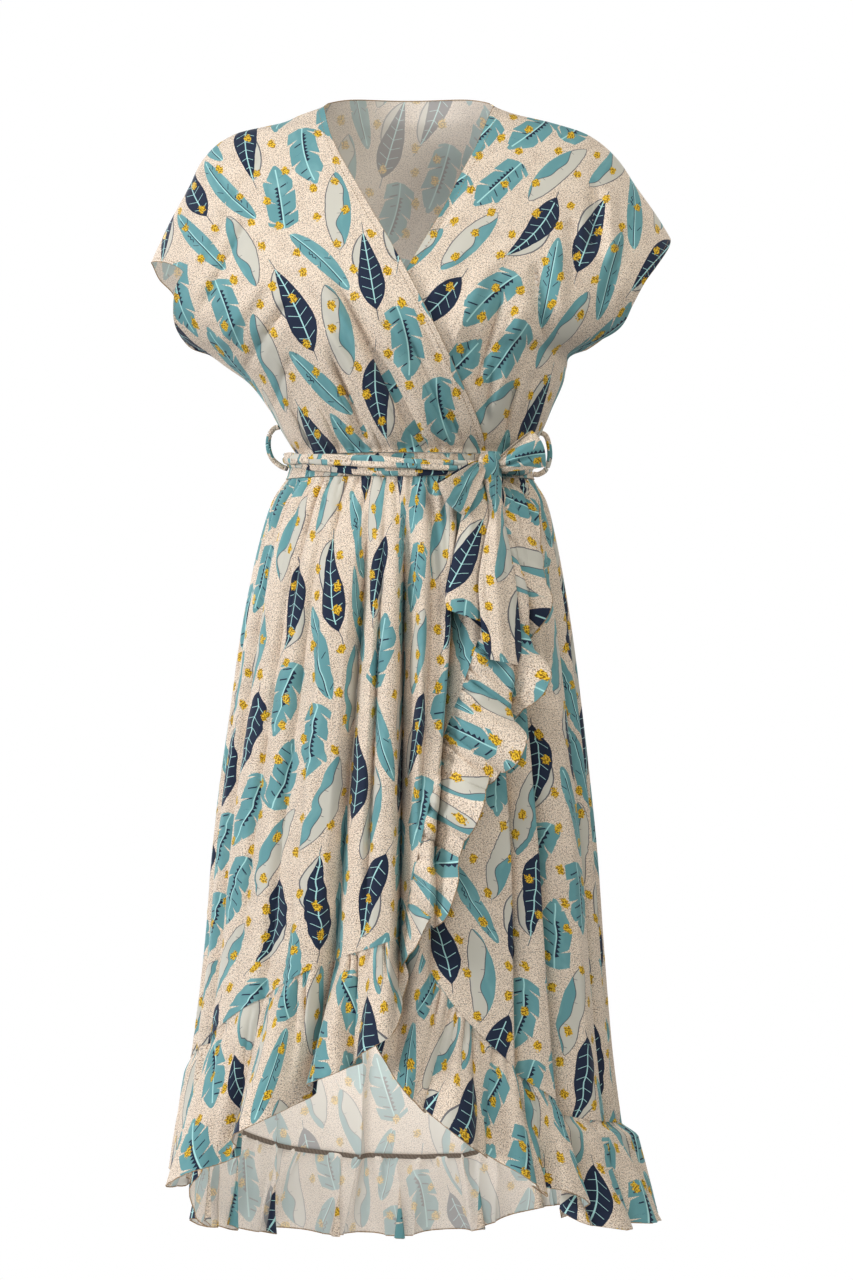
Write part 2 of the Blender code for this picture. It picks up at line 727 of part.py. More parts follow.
def clear():
    for thing in list(bpy.data.objects):
        bpy.data.objects.remove(thing, do_unlink=True)


def main():
    clear()
    dress = bpy.data.collections.new(COLLECTION)
    bpy.context.scene.collection.children.link(dress)

    cloth_panel("bodice_front_right", 14, 12, bodice_front(-1, True), dress)
    cloth_panel("bodice_front_left", 14, 12, bodice_front(1, False), dress)
    cloth_panel("bodice_back", 24, 11, bodice_back, dress)
    band("waist_casing", RING_SEGMENTS, casing, dress, CASING_WALL)

    right_side = math.radians(-90.0 + SIDE_ROOM)
    left_side = math.radians(90.0 - SIDE_ROOM)
    on_body = always(0.0)
    cloth_panel("skirt_front_right", 21, 12, skirt_front(OVER_EDGE, right_side, front_lift), dress)
    cloth_panel("skirt_front_left", 21, 12, skirt_front(UNDER_EDGE, left_side, on_body), dress)
    cloth_panel("skirt_back", 26, 8, skirt_back, dress)

    over = flounce(OVER_EDGE, FRONT_FLUTES, front_lift, soft_fall, free_flutes)
    under = flounce(UNDER_EDGE, FRONT_FLUTES, on_body, soft_fall, pressed_then_free)
    behind = flounce(BACK_EDGE, BACK_FLUTES, on_body, always(1.0), always(1.0))
    cloth_panel("ruffle_front_right", 44, 3, over, dress)
    cloth_panel("ruffle_front_left", 44, 3, under, dress)
    cloth_panel("ruffle_back", 32, 3, behind, dress)

    band("belt_lower", RING_SEGMENTS, strap("lower", LOWER_STRAP_OUT), dress, STRAP_WALL)
    band("belt_upper", RING_SEGMENTS, strap("upper", UPPER_STRAP_OUT), dress, STRAP_WALL)
    knot("bow_knot", dress)
    right_loop = bow_loop(-1, math.radians(-43), 0.046, 0.0215)
    left_loop = bow_loop(1, math.radians(22), 0.050, 0.017)
    band("bow_loop_right", LOOP_SEGMENTS, right_loop, dress, CLOTH)
    band("bow_loop_left", LOOP_SEGMENTS, left_loop, dress, CLOTH)
    cloth_panel("belt_tail_wide", 4, 9, tail(WIDE_TAIL, WIDE_TAIL_SLANT), dress)
    cloth_panel("belt_tail_narrow", 4, 10, tail(NARROW_TAIL, NARROW_TAIL_SLANT), dress)
    carrier("belt_loop_right", -1, RIGHT_CARRIER, dress)
    carrier("belt_loop_left", 1, LEFT_CARRIER, dress)


main()
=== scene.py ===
"""Looks of the wrap dress: printed crepe panels with their folds, gathers and flounces, the tie with its
bow, and the sewing. Everything is in metres, in the frame's own axes: the wearer faces -Y and +X is their
left."""

import math

import bmesh
import bpy
import numpy as np
from bpy.props import FloatProperty, FloatVectorProperty, PointerProperty
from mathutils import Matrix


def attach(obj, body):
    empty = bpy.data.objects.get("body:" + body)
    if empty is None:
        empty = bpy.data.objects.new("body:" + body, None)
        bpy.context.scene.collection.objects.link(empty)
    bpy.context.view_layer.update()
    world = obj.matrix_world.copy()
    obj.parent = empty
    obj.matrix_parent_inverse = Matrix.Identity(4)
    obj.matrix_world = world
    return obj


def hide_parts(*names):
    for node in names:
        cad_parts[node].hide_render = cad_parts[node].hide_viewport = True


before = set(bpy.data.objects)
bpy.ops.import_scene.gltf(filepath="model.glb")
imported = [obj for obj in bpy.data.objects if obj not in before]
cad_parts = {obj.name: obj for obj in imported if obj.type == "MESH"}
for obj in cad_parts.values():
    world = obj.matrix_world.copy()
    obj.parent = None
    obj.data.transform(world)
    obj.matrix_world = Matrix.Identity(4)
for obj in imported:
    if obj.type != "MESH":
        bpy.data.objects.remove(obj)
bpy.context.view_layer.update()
BODY = "root"

bl_info = {
    "name": "Wrap dress",
    "version": (1, 0, 0),
    "blender": (4, 5, 0),
    "location": "View3D > Sidebar > Wrap dress",
    "description": "Cloth, print, tie and stitching of a worn wrap dress around its CAD frame",
    "category": "Object",
}


# ---- sizes of the figure and of the cut, near the CAD's ----

def table(columns, *rows):
    """Named columns of a short table, as arrays."""
    names = columns.split()
    return {name: np.array([row[i] for row in rows], float) for i, name in enumerate(names)}


BODICE = table(
    "height right left front back",
    (0.024, 0.070, 0.071, 0.024, 0.044),
    (0.006, 0.091, 0.093, 0.030, 0.050),
    (-0.004, 0.117, 0.120, 0.034, 0.052),
    (-0.013, 0.138, 0.158, 0.039, 0.056),
    (-0.025, 0.188, 0.194, 0.047, 0.061),
    (-0.049, 0.219, 0.224, 0.062, 0.072),
    (-0.081, 0.236, 0.246, 0.079, 0.084),
    (-0.114, 0.254, 0.269, 0.095, 0.093),
    (-0.143, 0.268, 0.286, 0.108, 0.099),
    (-0.163, 0.277, 0.294, 0.117, 0.102),
    (-0.190, 0.287, 0.288, 0.127, 0.104),
    (-0.215, 0.277, 0.268, 0.134, 0.105),
    (-0.235, 0.258, 0.241, 0.137, 0.104),
    (-0.250, 0.237, 0.212, 0.137, 0.102),
    (-0.262, 0.214, 0.177, 0.136, 0.100),
    (-0.275, 0.196, 0.171, 0.133, 0.097),
    (-0.293, 0.171, 0.167, 0.129, 0.094),
    (-0.320, 0.150, 0.155, 0.121, 0.092),
    (-0.339, 0.139, 0.147, 0.113, 0.091),
    (-0.356, 0.129, 0.138, 0.104, 0.090),
    (-0.368, 0.121, 0.128, 0.094, 0.086),
)
SKIRT = table(
    "height right left front back",
    (-0.368, 0.121, 0.128, 0.094, 0.086),
    (-0.394, 0.129, 0.134, 0.094, 0.086),
    (-0.404, 0.136, 0.140, 0.096, 0.088),
    (-0.420, 0.146, 0.149, 0.103, 0.095),
    (-0.450, 0.156, 0.157, 0.110, 0.105),
    (-0.500, 0.168, 0.167, 0.119, 0.116),
    (-0.570, 0.181, 0.178, 0.129, 0.127),
    (-0.650, 0.192, 0.188, 0.137, 0.135),
    (-0.720, 0.202, 0.196, 0.142, 0.142),
    (-0.800, 0.211, 0.204, 0.148, 0.149),
    (-0.900, 0.219, 0.211, 0.154, 0.157),
    (-1.000, 0.231, 0.219, 0.161, 0.166),
    (-1.060, 0.240, 0.226, 0.166, 0.171),
    (-1.160, 0.250, 0.240, 0.173, 0.178),
    (-1.270, 0.258, 0.252, 0.178, 0.184),
)
# Heights of the tie's two turns at angles round the body
STRAPS = table(
    "angle upper lower",
    (-180.0, -0.3750, -0.3860),
    (-120.0, -0.3740, -0.3810),
    (-90.0, -0.3740, -0.3790),
    (-60.0, -0.3775, -0.3825),
    (-35.0, -0.3805, -0.3880),
    (-12.0, -0.3835, -0.3930),
    (10.0, -0.3865, -0.3915),
    (36.0, -0.3870, -0.3890),
    (62.0, -0.3820, -0.3885),
    (90.0, -0.3750, -0.3800),
    (120.0, -0.3740, -0.3810),
    (180.0, -0.3750, -0.3860),
)
# Hanging ends of the tie: their edges in the front view, and how far off the skirt they hang
WIDE_TAIL = table(
    "height inner outer off",
    (-0.3920, 0.0740, 0.0880, 0.0100),
    (-0.4050, 0.0705, 0.0890, 0.0105),
    (-0.4250, 0.0612, 0.0905, 0.0115),
    (-0.4550, 0.0539, 0.0900, 0.0132),
    (-0.5000, 0.0444, 0.0850, 0.0165),
    (-0.5280, 0.0396, 0.0800, 0.0192),
    (-0.5390, 0.0420, 0.0775, 0.0205),
)
NARROW_TAIL = table(
    "height inner outer off",
    (-0.3720, 0.0765, 0.0975, 0.0240),
    (-0.3920, 0.0790, 0.0985, 0.0215),
    (-0.4180, 0.0840, 0.0985, 0.0185),
    (-0.4400, 0.0862, 0.0995, 0.0190),
    (-0.4650, 0.0815, 0.1050, 0.0215),
    (-0.5070, 0.0746, 0.1120, 0.0250),
    (-0.5400, 0.0756, 0.1155, 0.0275),
    (-0.5720, 0.0787, 0.1180, 0.0300),
    (-0.5900, 0.0850, 0.1140, 0.0350),
)
# Seams of the flounces: how deep the flounce is, how far it stands out just below the seam, and how much
# more at its hem
OVER_EDGE = table(
    "share angle height depth puff flare",
    (0.00, 47.0, -0.400, 0.036, 0.004, 0.012),
    (0.12, 37.5, -0.458, 0.054, 0.004, 0.012),
    (0.25, 26.0, -0.545, 0.066, 0.004, 0.012),
    (0.38, 15.5, -0.640, 0.062, 0.004, 0.012),
    (0.50, 7.0, -0.730, 0.042, 0.004, 0.012),
    (0.58, 1.8, -0.812, 0.040, 0.004, 0.012),
    (0.64, -1.5, -0.868, 0.026, 0.004, 0.012),
    (0.69, -7.5, -0.883, 0.104, 0.004, 0.012),
    (0.75, -18.0, -0.897, 0.116, 0.004, 0.012),
    (0.82, -32.0, -0.922, 0.138, 0.004, 0.012),
    (0.88, -48.0, -0.956, 0.158, 0.004, 0.012),
    (0.94, -68.0, -0.998, 0.146, 0.004, 0.009),
    (1.00, -90.0, -1.022, 0.110, 0.004, 0.003),
)
UNDER_EDGE = table(
    "share angle height depth puff flare",
    (0.00, -47.0, -0.400, 0.052, 0.004, 0.012),
    (0.14, -37.0, -0.475, 0.095, 0.004, 0.012),
    (0.28, -26.0, -0.575, 0.095, 0.004, 0.012),
    (0.42, -14.0, -0.695, 0.095, 0.004, 0.012),
    (0.54, -4.0, -0.805, 0.095, 0.004, 0.012),
    (0.64, 4.0, -0.890, 0.102, 0.004, 0.012),
    (0.72, 11.0, -0.936, 0.112, 0.004, 0.012),
    (0.79, 20.0, -0.975, 0.112, 0.004, 0.012),
    (0.86, 36.0, -1.030, 0.108, 0.006, 0.012),
    (0.885, 42.5, -1.046, 0.098, 0.008, 0.012),
    (0.905, 46.5, -1.062, 0.114, 0.010, 0.012),
    (0.93, 56.0, -1.073, 0.106, 0.012, 0.012),
    (1.00, 90.0, -1.092, 0.096, 0.014, 0.012),
)
BACK_EDGE = table(
    "share angle height depth puff flare",
    (0.00, 90.0, -1.092, 0.096, 0.014, 0.012),
    (0.17, 115.0, -1.114, 0.082, 0.008, 0.008),
    (0.34, 145.0, -1.138, 0.074, 0.004, 0.008),
    (0.42, 162.0, -1.152, 0.090, 0.004, 0.010),
    (0.50, 180.0, -1.158, 0.095, 0.004, 0.012),
    (0.67, 212.0, -1.144, 0.098, 0.004, 0.010),
    (0.82, 238.0, -1.104, 0.116, 0.004, 0.000),
    (0.90, 252.0, -1.066, 0.138, 0.004, -0.010),
    (0.95, 261.0, -1.042, 0.104, 0.004, -0.018),
    (1.00, 270.0, -1.022, 0.100, 0.004, 0.000),
)
SHOULDER_HEIGHTS = {
    -1: (0.006, -0.004, -0.013, -0.019, -0.025, -0.033, -0.049, -0.081, -0.114, -0.143, -0.163),
    1: (0.006, -0.004, -0.009, -0.013, -0.019, -0.025, -0.036, -0.058, -0.084, -0.112, -0.137),
}
UNDERARM = {-1: -0.262, 1: -0.257}
CUFF_FRONT = {
    -1: ((-0.255, -0.169), (-0.237, -0.181), (-0.244, -0.194), (-0.248, -0.216), (-0.247, -0.237),
         (-0.235, -0.254)),
    1: ((0.279, -0.150), (0.266, -0.170), (0.251, -0.191), (0.239, -0.213), (0.225, -0.238)),
}
CUFF_BACK = {
    -1: ((-0.271, -0.177), (-0.259, -0.189), (-0.250, -0.205), (-0.242, -0.226), (-0.231, -0.247)),
    1: ((0.277, -0.152), (0.263, -0.172), (0.247, -0.192), (0.233, -0.213), (0.216, -0.237)),
}
NECK_EDGE = {
    -1: ((-0.079, -0.040), (-0.053, -0.092), (-0.023, -0.146), (-0.001, -0.187), (0.028, -0.244),
         (0.058, -0.306), (0.076, -0.346)),
    1: ((0.072, -0.047), (0.055, -0.081), (0.036, -0.120), (0.009, -0.168), (-0.020, -0.220),
        (-0.048, -0.282), (-0.069, -0.338)),
}
RIGHT_CARRIER = ((0.0165, -0.340), (0.0222, -0.342), (0.0272, -0.350), (0.0280, -0.362), (0.0240, -0.374),
                 (0.0150, -0.382), (0.0075, -0.385))
LEFT_CARRIER = ((0.0140, -0.346), (0.0200, -0.350), (0.0232, -0.361), (0.0236, -0.374), (0.0195, -0.386),
                (0.0120, -0.391), (0.0060, -0.391))

CASING_TOP = -0.374
CASING_BOTTOM = -0.397
LOWEST_HEM = -1.2
FIGURE_TOP = 0.030
FOOT = -1.30  # below every hem
EDGE_ROOM = 0.0009  # gap between a panel and the casing
SEAM = 0.0003  # gap at a side or shoulder seam
WRAP_REACH = 0.083  # how far a front crosses the middle at the waist
CUFF_SHARE = 0.45  # share of a front's outer edge that is the cuff
NECK_SHARE = 0.24  # share of the back's upper edge that is the neck
NAPE = 0.020
SKIRT_CORNER = 0.61  # share of a front's flounce seam where its edge turns into its hem
BODICE_LIFT = 0.0060
BODICE_EDGE_LIFT = 0.0036
WRAP_LIFT = 0.0085
WAIST_LIFT = 0.0032
GATHERED_FROM = -0.62  # above this the grain runs straighter than the form
GRAIN_PULL = 0.75
GRAIN_SOFTNESS = 0.08
SKEW = 0.5  # how uneven the two flanks of a fold are
LEAN = 0.015  # how far a flute's flanks lean out, and the most they do
LEAN_MOST = 0.013
GATHER_DEPTH = 0.0035
FLUTE_DEPTH = 0.021
HEM_FULLNESS = 1.22  # a flounce's cut length to its length on the form, part way down
CLOTH = 0.0005
STRAP_WIDTH = 0.0118
STRAP_RADIUS = 0.125  # round the waist, for the print's places on the straps
KNOT_TURN = 36.0  # degrees from centre front
KNOT_HEIGHT = -0.3870
KNOT_REACH = 0.0158  # how far the knot's middle stands off the casing

FLOOR = -1.44
FLOOR_RADIUS = 0.80
CAMERA_DISTANCE = 3.2
CAMERA_SIDE = 0.02  # towards the wearer's left
CAMERA_HEIGHT = -0.57
VIEW_HEIGHT = 1.3824
FILM_HEIGHT = 24.0  # millimetres
EVEN_LIGHT = 0.205
DARKEN = 0.85  # gamma of the picture

# ---- folds ----

# Folds of the skirt: the angle round the body (degrees) at the top, half way and at the hem, the depth of
# the trough (or height of the ridge, when negative), half its width in degrees, and the heights it runs
# between
SKIRT_FOLDS = table(
    "top middle hem depth half starts ends",
    (-1.2, -2.2, -3.6, 0.036, 4.2, -0.400, -1.02),
    (-8.5, -8.5, -10.0, -0.006, 5.0, -0.410, -1.00),
    (5.0, 3.0, 1.0, -0.008, 4.5, -0.410, -0.90),
    (-15.0, -20.0, -31.0, 0.026, 5.0, -0.400, -1.30),
    (-26.0, -28.5, -40.0, -0.007, 6.0, -0.430, -1.30),
    (-8.5, -11.0, -17.0, 0.016, 3.2, -0.398, -0.86),
    (-33.0, -39.0, -50.0, 0.010, 5.6, -0.400, -1.30),
    (-44.0, -50.0, -60.0, 0.008, 4.6, -0.400, -0.95),
    (-60.0, -65.0, -72.0, 0.010, 6.4, -0.410, -1.30),
    (-76.0, -79.0, -83.0, 0.006, 6.0, -0.440, -1.30),
    (10.5, 2.5, -1.0, 0.013, 4.0, -0.398, -0.84),
    (21.0, 8.0, 1.0, 0.026, 4.6, -0.420, -0.96),
    (33.0, 34.0, 30.0, 0.018, 5.0, -0.430, -1.30),
    (43.0, 45.0, 47.0, 0.027, 5.6, -0.430, -1.30),
    (55.0, 56.0, 58.0, -0.006, 6.0, -0.450, -1.30),
    (65.0, 67.0, 69.0, 0.017, 5.6, -0.440, -1.30),
    (78.0, 79.0, 80.0, 0.012, 5.0, -0.430, -1.30),
    (101.0, 101.0, 102.0, 0.010, 6.0, -0.430, -1.30),
    (113.0, 113.0, 114.0, 0.014, 7.0, -0.450, -1.30),
    (127.0, 126.0, 125.0, 0.010, 6.0, -0.450, -1.30),
    (140.0, 139.0, 137.0, 0.018, 7.0, -0.430, -1.30),
    (153.0, 152.0, 151.0, 0.010, 5.0, -0.410, -0.85),
    (166.0, 165.0, 164.0, 0.015, 6.6, -0.440, -1.30),
    (178.0, 178.0, 177.0, 0.010, 5.0, -0.420, -1.00),
    (190.0, 192.0, 194.0, 0.019, 7.0, -0.440, -1.30),
    (203.0, 204.0, 206.0, 0.009, 5.0, -0.430, -0.95),
    (216.0, 218.0, 220.0, 0.014, 6.6, -0.440, -1.30),
    (231.0, 232.0, 233.0, 0.010, 6.0, -0.450, -1.30),
    (244.0, 245.0, 246.0, 0.013, 7.0, -0.450, -1.30),
    (259.0, 260.0, 261.0, 0.009, 5.0, -0.430, -1.30),
)

# Creases of the bodice fronts, in the front view: from one place to another, height of the ridge (a trough
# when negative) and half its width
FRONT_CREASES = {
    -1: table(
        "x0 z0 x1 z1 height half",
        (-0.085, -0.175, 0.012, -0.372, -0.0100, 0.014),
        (-0.062, -0.190, 0.034, -0.368, 0.0070, 0.015),
        (-0.100, -0.225, -0.008, -0.374, 0.0065, 0.014),
        (-0.084, -0.262, -0.040, -0.366, -0.0100, 0.011),
        (-0.035, -0.262, 0.024, -0.380, -0.0090, 0.011),
        (-0.010, -0.235, 0.052, -0.366, -0.0070, 0.010),
        (-0.118, -0.270, -0.078, -0.372, 0.0060, 0.012),
        (-0.128, -0.300, -0.100, -0.372, -0.0075, 0.010),
        (0.005, -0.215, 0.058, -0.345, -0.0030, 0.009),
        (-0.186, -0.300, -0.120, -0.215, -0.0080, 0.012),
        (-0.205, -0.270, -0.150, -0.195, 0.0050, 0.013),
        (-0.225, -0.240, -0.165, -0.120, -0.0080, 0.015),
        (-0.238, -0.200, -0.196, -0.110, 0.0050, 0.014),
        (-0.200, -0.120, -0.150, -0.050, -0.0045, 0.015),
        (-0.150, -0.335, -0.118, -0.268, -0.0055, 0.010),
    ),
    1: table(
        "x0 z0 x1 z1 height half",
        (0.104, -0.195, 0.062, -0.330, -0.0095, 0.012),
        (0.128, -0.205, 0.082, -0.345, 0.0065, 0.014),
        (0.090, -0.275, 0.074, -0.366, -0.0090, 0.010),
        (0.116, -0.285, 0.098, -0.370, -0.0080, 0.010),
        (0.145, -0.272, 0.132, -0.175, -0.0085, 0.012),
        (0.164, -0.250, 0.154, -0.155, 0.0055, 0.013),
        (0.176, -0.225, 0.172, -0.120, -0.0060, 0.012),
        (0.200, -0.078, 0.193, -0.165, -0.0085, 0.012),
        (0.216, -0.085, 0.214, -0.180, 0.0050, 0.012),
        (0.240, -0.120, 0.205, -0.222, -0.0070, 0.012),
        (0.060, -0.085, 0.028, -0.150, -0.0030, 0.011),
        (0.120, -0.350, 0.134, -0.285, -0.0060, 0.010),
    ),
}
BACK_CREASES = table(
    "x0 z0 x1 z1 height half",
    (-0.175, -0.270, -0.110, -0.165, -0.0080, 0.014),
    (0.172, -0.265, 0.105, -0.150, -0.0080, 0.014),
    (-0.200, -0.235, -0.150, -0.110, -0.0065, 0.014),
    (0.200, -0.225, 0.158, -0.115, -0.0065, 0.013),
    (-0.085, -0.180, -0.060, -0.366, -0.0075, 0.015),
    (0.020, -0.200, 0.012, -0.366, 0.0060, 0.016),
    (0.070, -0.190, 0.052, -0.368, -0.0080, 0.014),
    (-0.030, -0.230, -0.025, -0.368, -0.0065, 0.012),
    (-0.130, -0.300, -0.105, -0.220, 0.0050, 0.013),
    (0.125, -0.310, 0.098, -0.215, 0.0050, 0.013),
    (-0.105, -0.290, -0.095, -0.370, -0.0060, 0.010),
    (0.104, -0.280, 0.090, -0.370, -0.0065, 0.010),
)

# Flutes of the flounces: their place as a share of the seam, how far they stand out (in, when negative),
# and half their width as a share
OVER_FLUTES = table(
    "share out half",
    (0.060, 0.006, 0.034),
    (0.125, -0.005, 0.020),
    (0.180, 0.016, 0.034),
    (0.232, -0.008, 0.020),
    (0.285, 0.024, 0.036),
    (0.338, -0.010, 0.020),
    (0.385, 0.024, 0.030),
    (0.436, -0.014, 0.022),
    (0.490, 0.022, 0.030),
    (0.540, -0.014, 0.018),
    (0.580, 0.028, 0.024),
    (0.618, 0.010, 0.018),
    (0.650, -0.012, 0.016),
    (0.684, 0.026, 0.020),
    (0.720, -0.014, 0.017),
    (0.755, 0.022, 0.020),
    (0.792, -0.016, 0.018),
    (0.830, 0.024, 0.022),
    (0.870, -0.016, 0.018),
    (0.908, 0.020, 0.022),
    (0.946, -0.012, 0.018),
    (0.978, 0.004, 0.016),
)
UNDER_FLUTES = table(
    "share out half",
    (0.640, 0.012, 0.022),
    (0.690, 0.022, 0.022),
    (0.730, -0.016, 0.018),
    (0.768, 0.026, 0.021),
    (0.806, -0.018, 0.018),
    (0.838, 0.020, 0.018),
    (0.862, -0.016, 0.013),
    (0.880, 0.016, 0.011),
    (0.898, -0.028, 0.011),
    (0.918, 0.018, 0.012),
    (0.937, -0.020, 0.009),
    (0.954, 0.022, 0.010),
    (0.969, -0.016, 0.008),
    (0.984, 0.010, 0.009),
)
BACK_FLUTES = table(
    "share out half",
    (0.035, -0.012, 0.022),
    (0.085, 0.012, 0.026),
    (0.130, -0.012, 0.022),
    (0.180, 0.016, 0.026),
    (0.228, -0.012, 0.022),
    (0.275, 0.024, 0.028),
    (0.326, -0.018, 0.022),
    (0.372, 0.020, 0.024),
    (0.415, -0.014, 0.020),
    (0.462, 0.028, 0.028),
    (0.512, -0.018, 0.021),
    (0.556, 0.018, 0.022),
    (0.598, -0.014, 0.021),
    (0.648, 0.030, 0.030),
    (0.700, -0.016, 0.021),
    (0.745, 0.020, 0.023),
    (0.790, -0.018, 0.021),
    (0.836, 0.018, 0.022),
    (0.878, -0.010, 0.020),
    (0.925, 0.006, 0.020),
)


# ---- reading tables, easing ----

def smooth(keys, values, at):
    """Cubic Hermite reading of a table whose keys run one way."""
    keys = np.asarray(keys, float)
    values = np.asarray(values, float)
    if keys[0] > keys[-1]:
        keys = keys[::-1]
        values = values[::-1]
    slope = np.gradient(values) / np.gradient(keys)
    at = np.clip(at, keys[0], keys[-1])
    low = np.clip(np.searchsorted(keys, at, side="right") - 1, 0, len(keys) - 2)
    span = keys[low + 1] - keys[low]
    t = (at - keys[low]) / span
    start = (1 + 2 * t) * (1 - t) ** 2 * values[low] + t * (1 - t) ** 2 * span * slope[low]
    finish = t * t * (3 - 2 * t) * values[low + 1] + t * t * (t - 1) * span * slope[low + 1]
    return start + finish


def read(rows, key, name, at):
    return smooth(rows[key], rows[name], at)


def sided(test, rows, first, second, height):
    """One column of a section table where the test holds, and the other elsewhere."""
    return np.where(test, read(rows, "height", first, height), read(rows, "height", second, height))


def along(points, share):
    """Places at shares of a smooth line through evenly spaced points, one array for each axis."""
    keys = np.linspace(0.0, 1.0, len(points))
    return [smooth(keys, [p[axis] for p in points], share) for axis in range(len(points[0]))]


def ease(low, high, value):
    t = np.clip((value - low) / (high - low), 0.0, 1.0)
    return t * t * (3 - 2 * t)


def bump(distance):
    return np.cos(np.minimum(np.abs(distance), 1.0) * math.pi / 2) ** 2


def valley(distance):
    """A narrow trough with rounded shoulders, as a fold of light cloth has."""
    return np.maximum(1.0 - np.abs(distance), 0.0) ** 1.8


def folded(depth, distance):
    """A valley for a positive depth, a round ridge for a negative one."""
    return depth * (valley(distance) if depth > 0 else bump(distance))


def mixed(a, b, t):
    return a + (b - a) * t


# ---- bodice ----

def bodice_depth(x, height, side):
    inside = np.maximum(1.0 - (x / sided(x > 0, BODICE, "left", "right", height)) ** 2, 0.0)
    return read(BODICE, "height", side, height) * np.sqrt(inside)


def outline_x(height, hand):
    return hand * read(BODICE, "height", "left" if hand > 0 else "right", height)


def shoulder_point(hand, share):
    heights = SHOULDER_HEIGHTS[hand]
    height = smooth(np.linspace(0.0, 1.0, len(heights)), heights, share)
    return outline_x(height, hand), height


def side_point(hand, share):
    height = mixed(UNDERARM[hand], CASING_TOP + EDGE_ROOM, share)
    return outline_x(height, hand), height


def outer_edge(cuffs, hand):
    """From the tip of a sleeve along its cuff to the underarm, then down the side seam."""
    tip = [float(value) for value in shoulder_point(hand, 1.0)]
    underarm = [float(value) for value in side_point(hand, 0.0)]
    points = (tip, *cuffs[hand], underarm)

    def line(share):
        on_cuff = along(points, share / CUFF_SHARE)
        on_side = side_point(hand, np.clip((share - CUFF_SHARE) / (1 - CUFF_SHARE), 0.0, 1.0))
        return [np.where(share <= CUFF_SHARE, a, b) for a, b in zip(on_cuff, on_side)]

    return line


def neck_line(hand):
    top = [float(value) for value in shoulder_point(hand, 0.0)]
    points = (top, *NECK_EDGE[hand], (-hand * WRAP_REACH, CASING_TOP + EDGE_ROOM))
    return lambda share: along(points, share)


def coons(top, bottom, start, end, u, v):
    """Places of a patch between four edge lines, each a function of a share."""
    zero = np.zeros(1)
    one = np.ones(1)
    corners = (top(zero), top(one), bottom(zero), bottom(one))
    out = []
    for axis in range(2):
        across = mixed(start(v)[axis], end(v)[axis], u)
        down = mixed(top(u)[axis], bottom(u)[axis], v)
        upper = mixed(corners[0][axis], corners[1][axis], u)
        lower = mixed(corners[2][axis], corners[3][axis], u)
        out.append(across + down - mixed(upper, lower, v))
    return out


def creased(rows, x, z):
    """Height that a table of creases gives at places of the front or back view."""
    total = np.zeros_like(x)
    for x0, z0, x1, z1, height, half in zip(*rows.values()):
        run = np.array((x1 - x0, z1 - z0))
        t = ((x - x0) * run[0] + (z - z0) * run[1]) / (run @ run)
        nearest = np.clip(t, 0.0, 1.0)
        gap = np.hypot(x - x0 - nearest * run[0], z - z0 - nearest * run[1])
        total -= 1.2 * folded(-height, gap / half) * ease(0.0, 0.3, nearest) * ease(1.0, 0.85, nearest)
    return total


def waist_gathers(u, v, seed, count, depth):
    """Gathers that fan out from the waist seam of a bodice panel, uneven in length, width and depth."""
    random = np.random.default_rng(seed)
    total = np.zeros_like(u)
    for i in range(count):
        middle = (i + random.uniform(0.2, 0.8)) / count
        half = random.uniform(0.45, 0.85) / count
        starts = random.uniform(0.52, 0.88)
        size = depth * random.uniform(0.5, 1.4)
        drift = random.uniform(-0.05, 0.05)
        total -= size * valley((u - middle - drift * (1 - v)) / half) * ease(starts, starts + 0.14, v)
    return total


def over_edge_x(height):
    rows = NECK_EDGE[-1]
    return smooth([p[1] for p in rows], [p[0] for p in rows], height)


def bodice_front(hand, lifted, u, v):
    """Points of one front with its half of the sleeve, and the places they have in the front view."""
    def lower(share):
        waist = CASING_TOP + EDGE_ROOM
        return mixed(-hand * WRAP_REACH, outline_x(waist, hand), share), np.full_like(share, waist)

    def upper(share):
        return shoulder_point(hand, share)

    x, height = coons(upper, lower, neck_line(hand), outer_edge(CUFF_FRONT, hand), u, v)
    depth = bodice_depth(x, height, "front")
    on_body = ease(0.02, 0.06, depth) * (1 - ease(0.17, 0.22, np.abs(x)))
    shown = np.ones_like(x)
    if not lifted:
        shown = ease(0.004, 0.022, x - over_edge_x(height))
    for top, low, rise, half, starts in ((0.22, 0.17, 0.0055, 0.085, 0.35),
                                         (0.42, 0.38, 0.0070, 0.090, 0.30),
                                         (0.62, 0.62, 0.0055, 0.100, 0.45)):
        grown = ease(starts, starts + 0.35, v) * (1 - 0.75 * ease(0.88, 1.0, v))
        depth = depth + rise * bump((u - mixed(top, low, v)) / half) * grown * on_body * shown
    if lifted:
        lift = mixed(BODICE_EDGE_LIFT, BODICE_LIFT, ease(CASING_TOP, CASING_TOP + 0.05, height))
        depth = depth + lift * ease(-0.118, -0.085, x) * ease(-0.02, -0.10, height)
    near_edge = ease(0.004, 0.03, depth)
    sizes = bpy.context.scene.dress_sizes
    folds = creased(FRONT_CREASES[hand], x, height)
    folds += waist_gathers(u, v, 11 + hand, 23, sizes.gather_depth)
    depth = depth + folds * near_edge * shown
    return np.stack((x, -depth - SEAM / 2, height), -1)


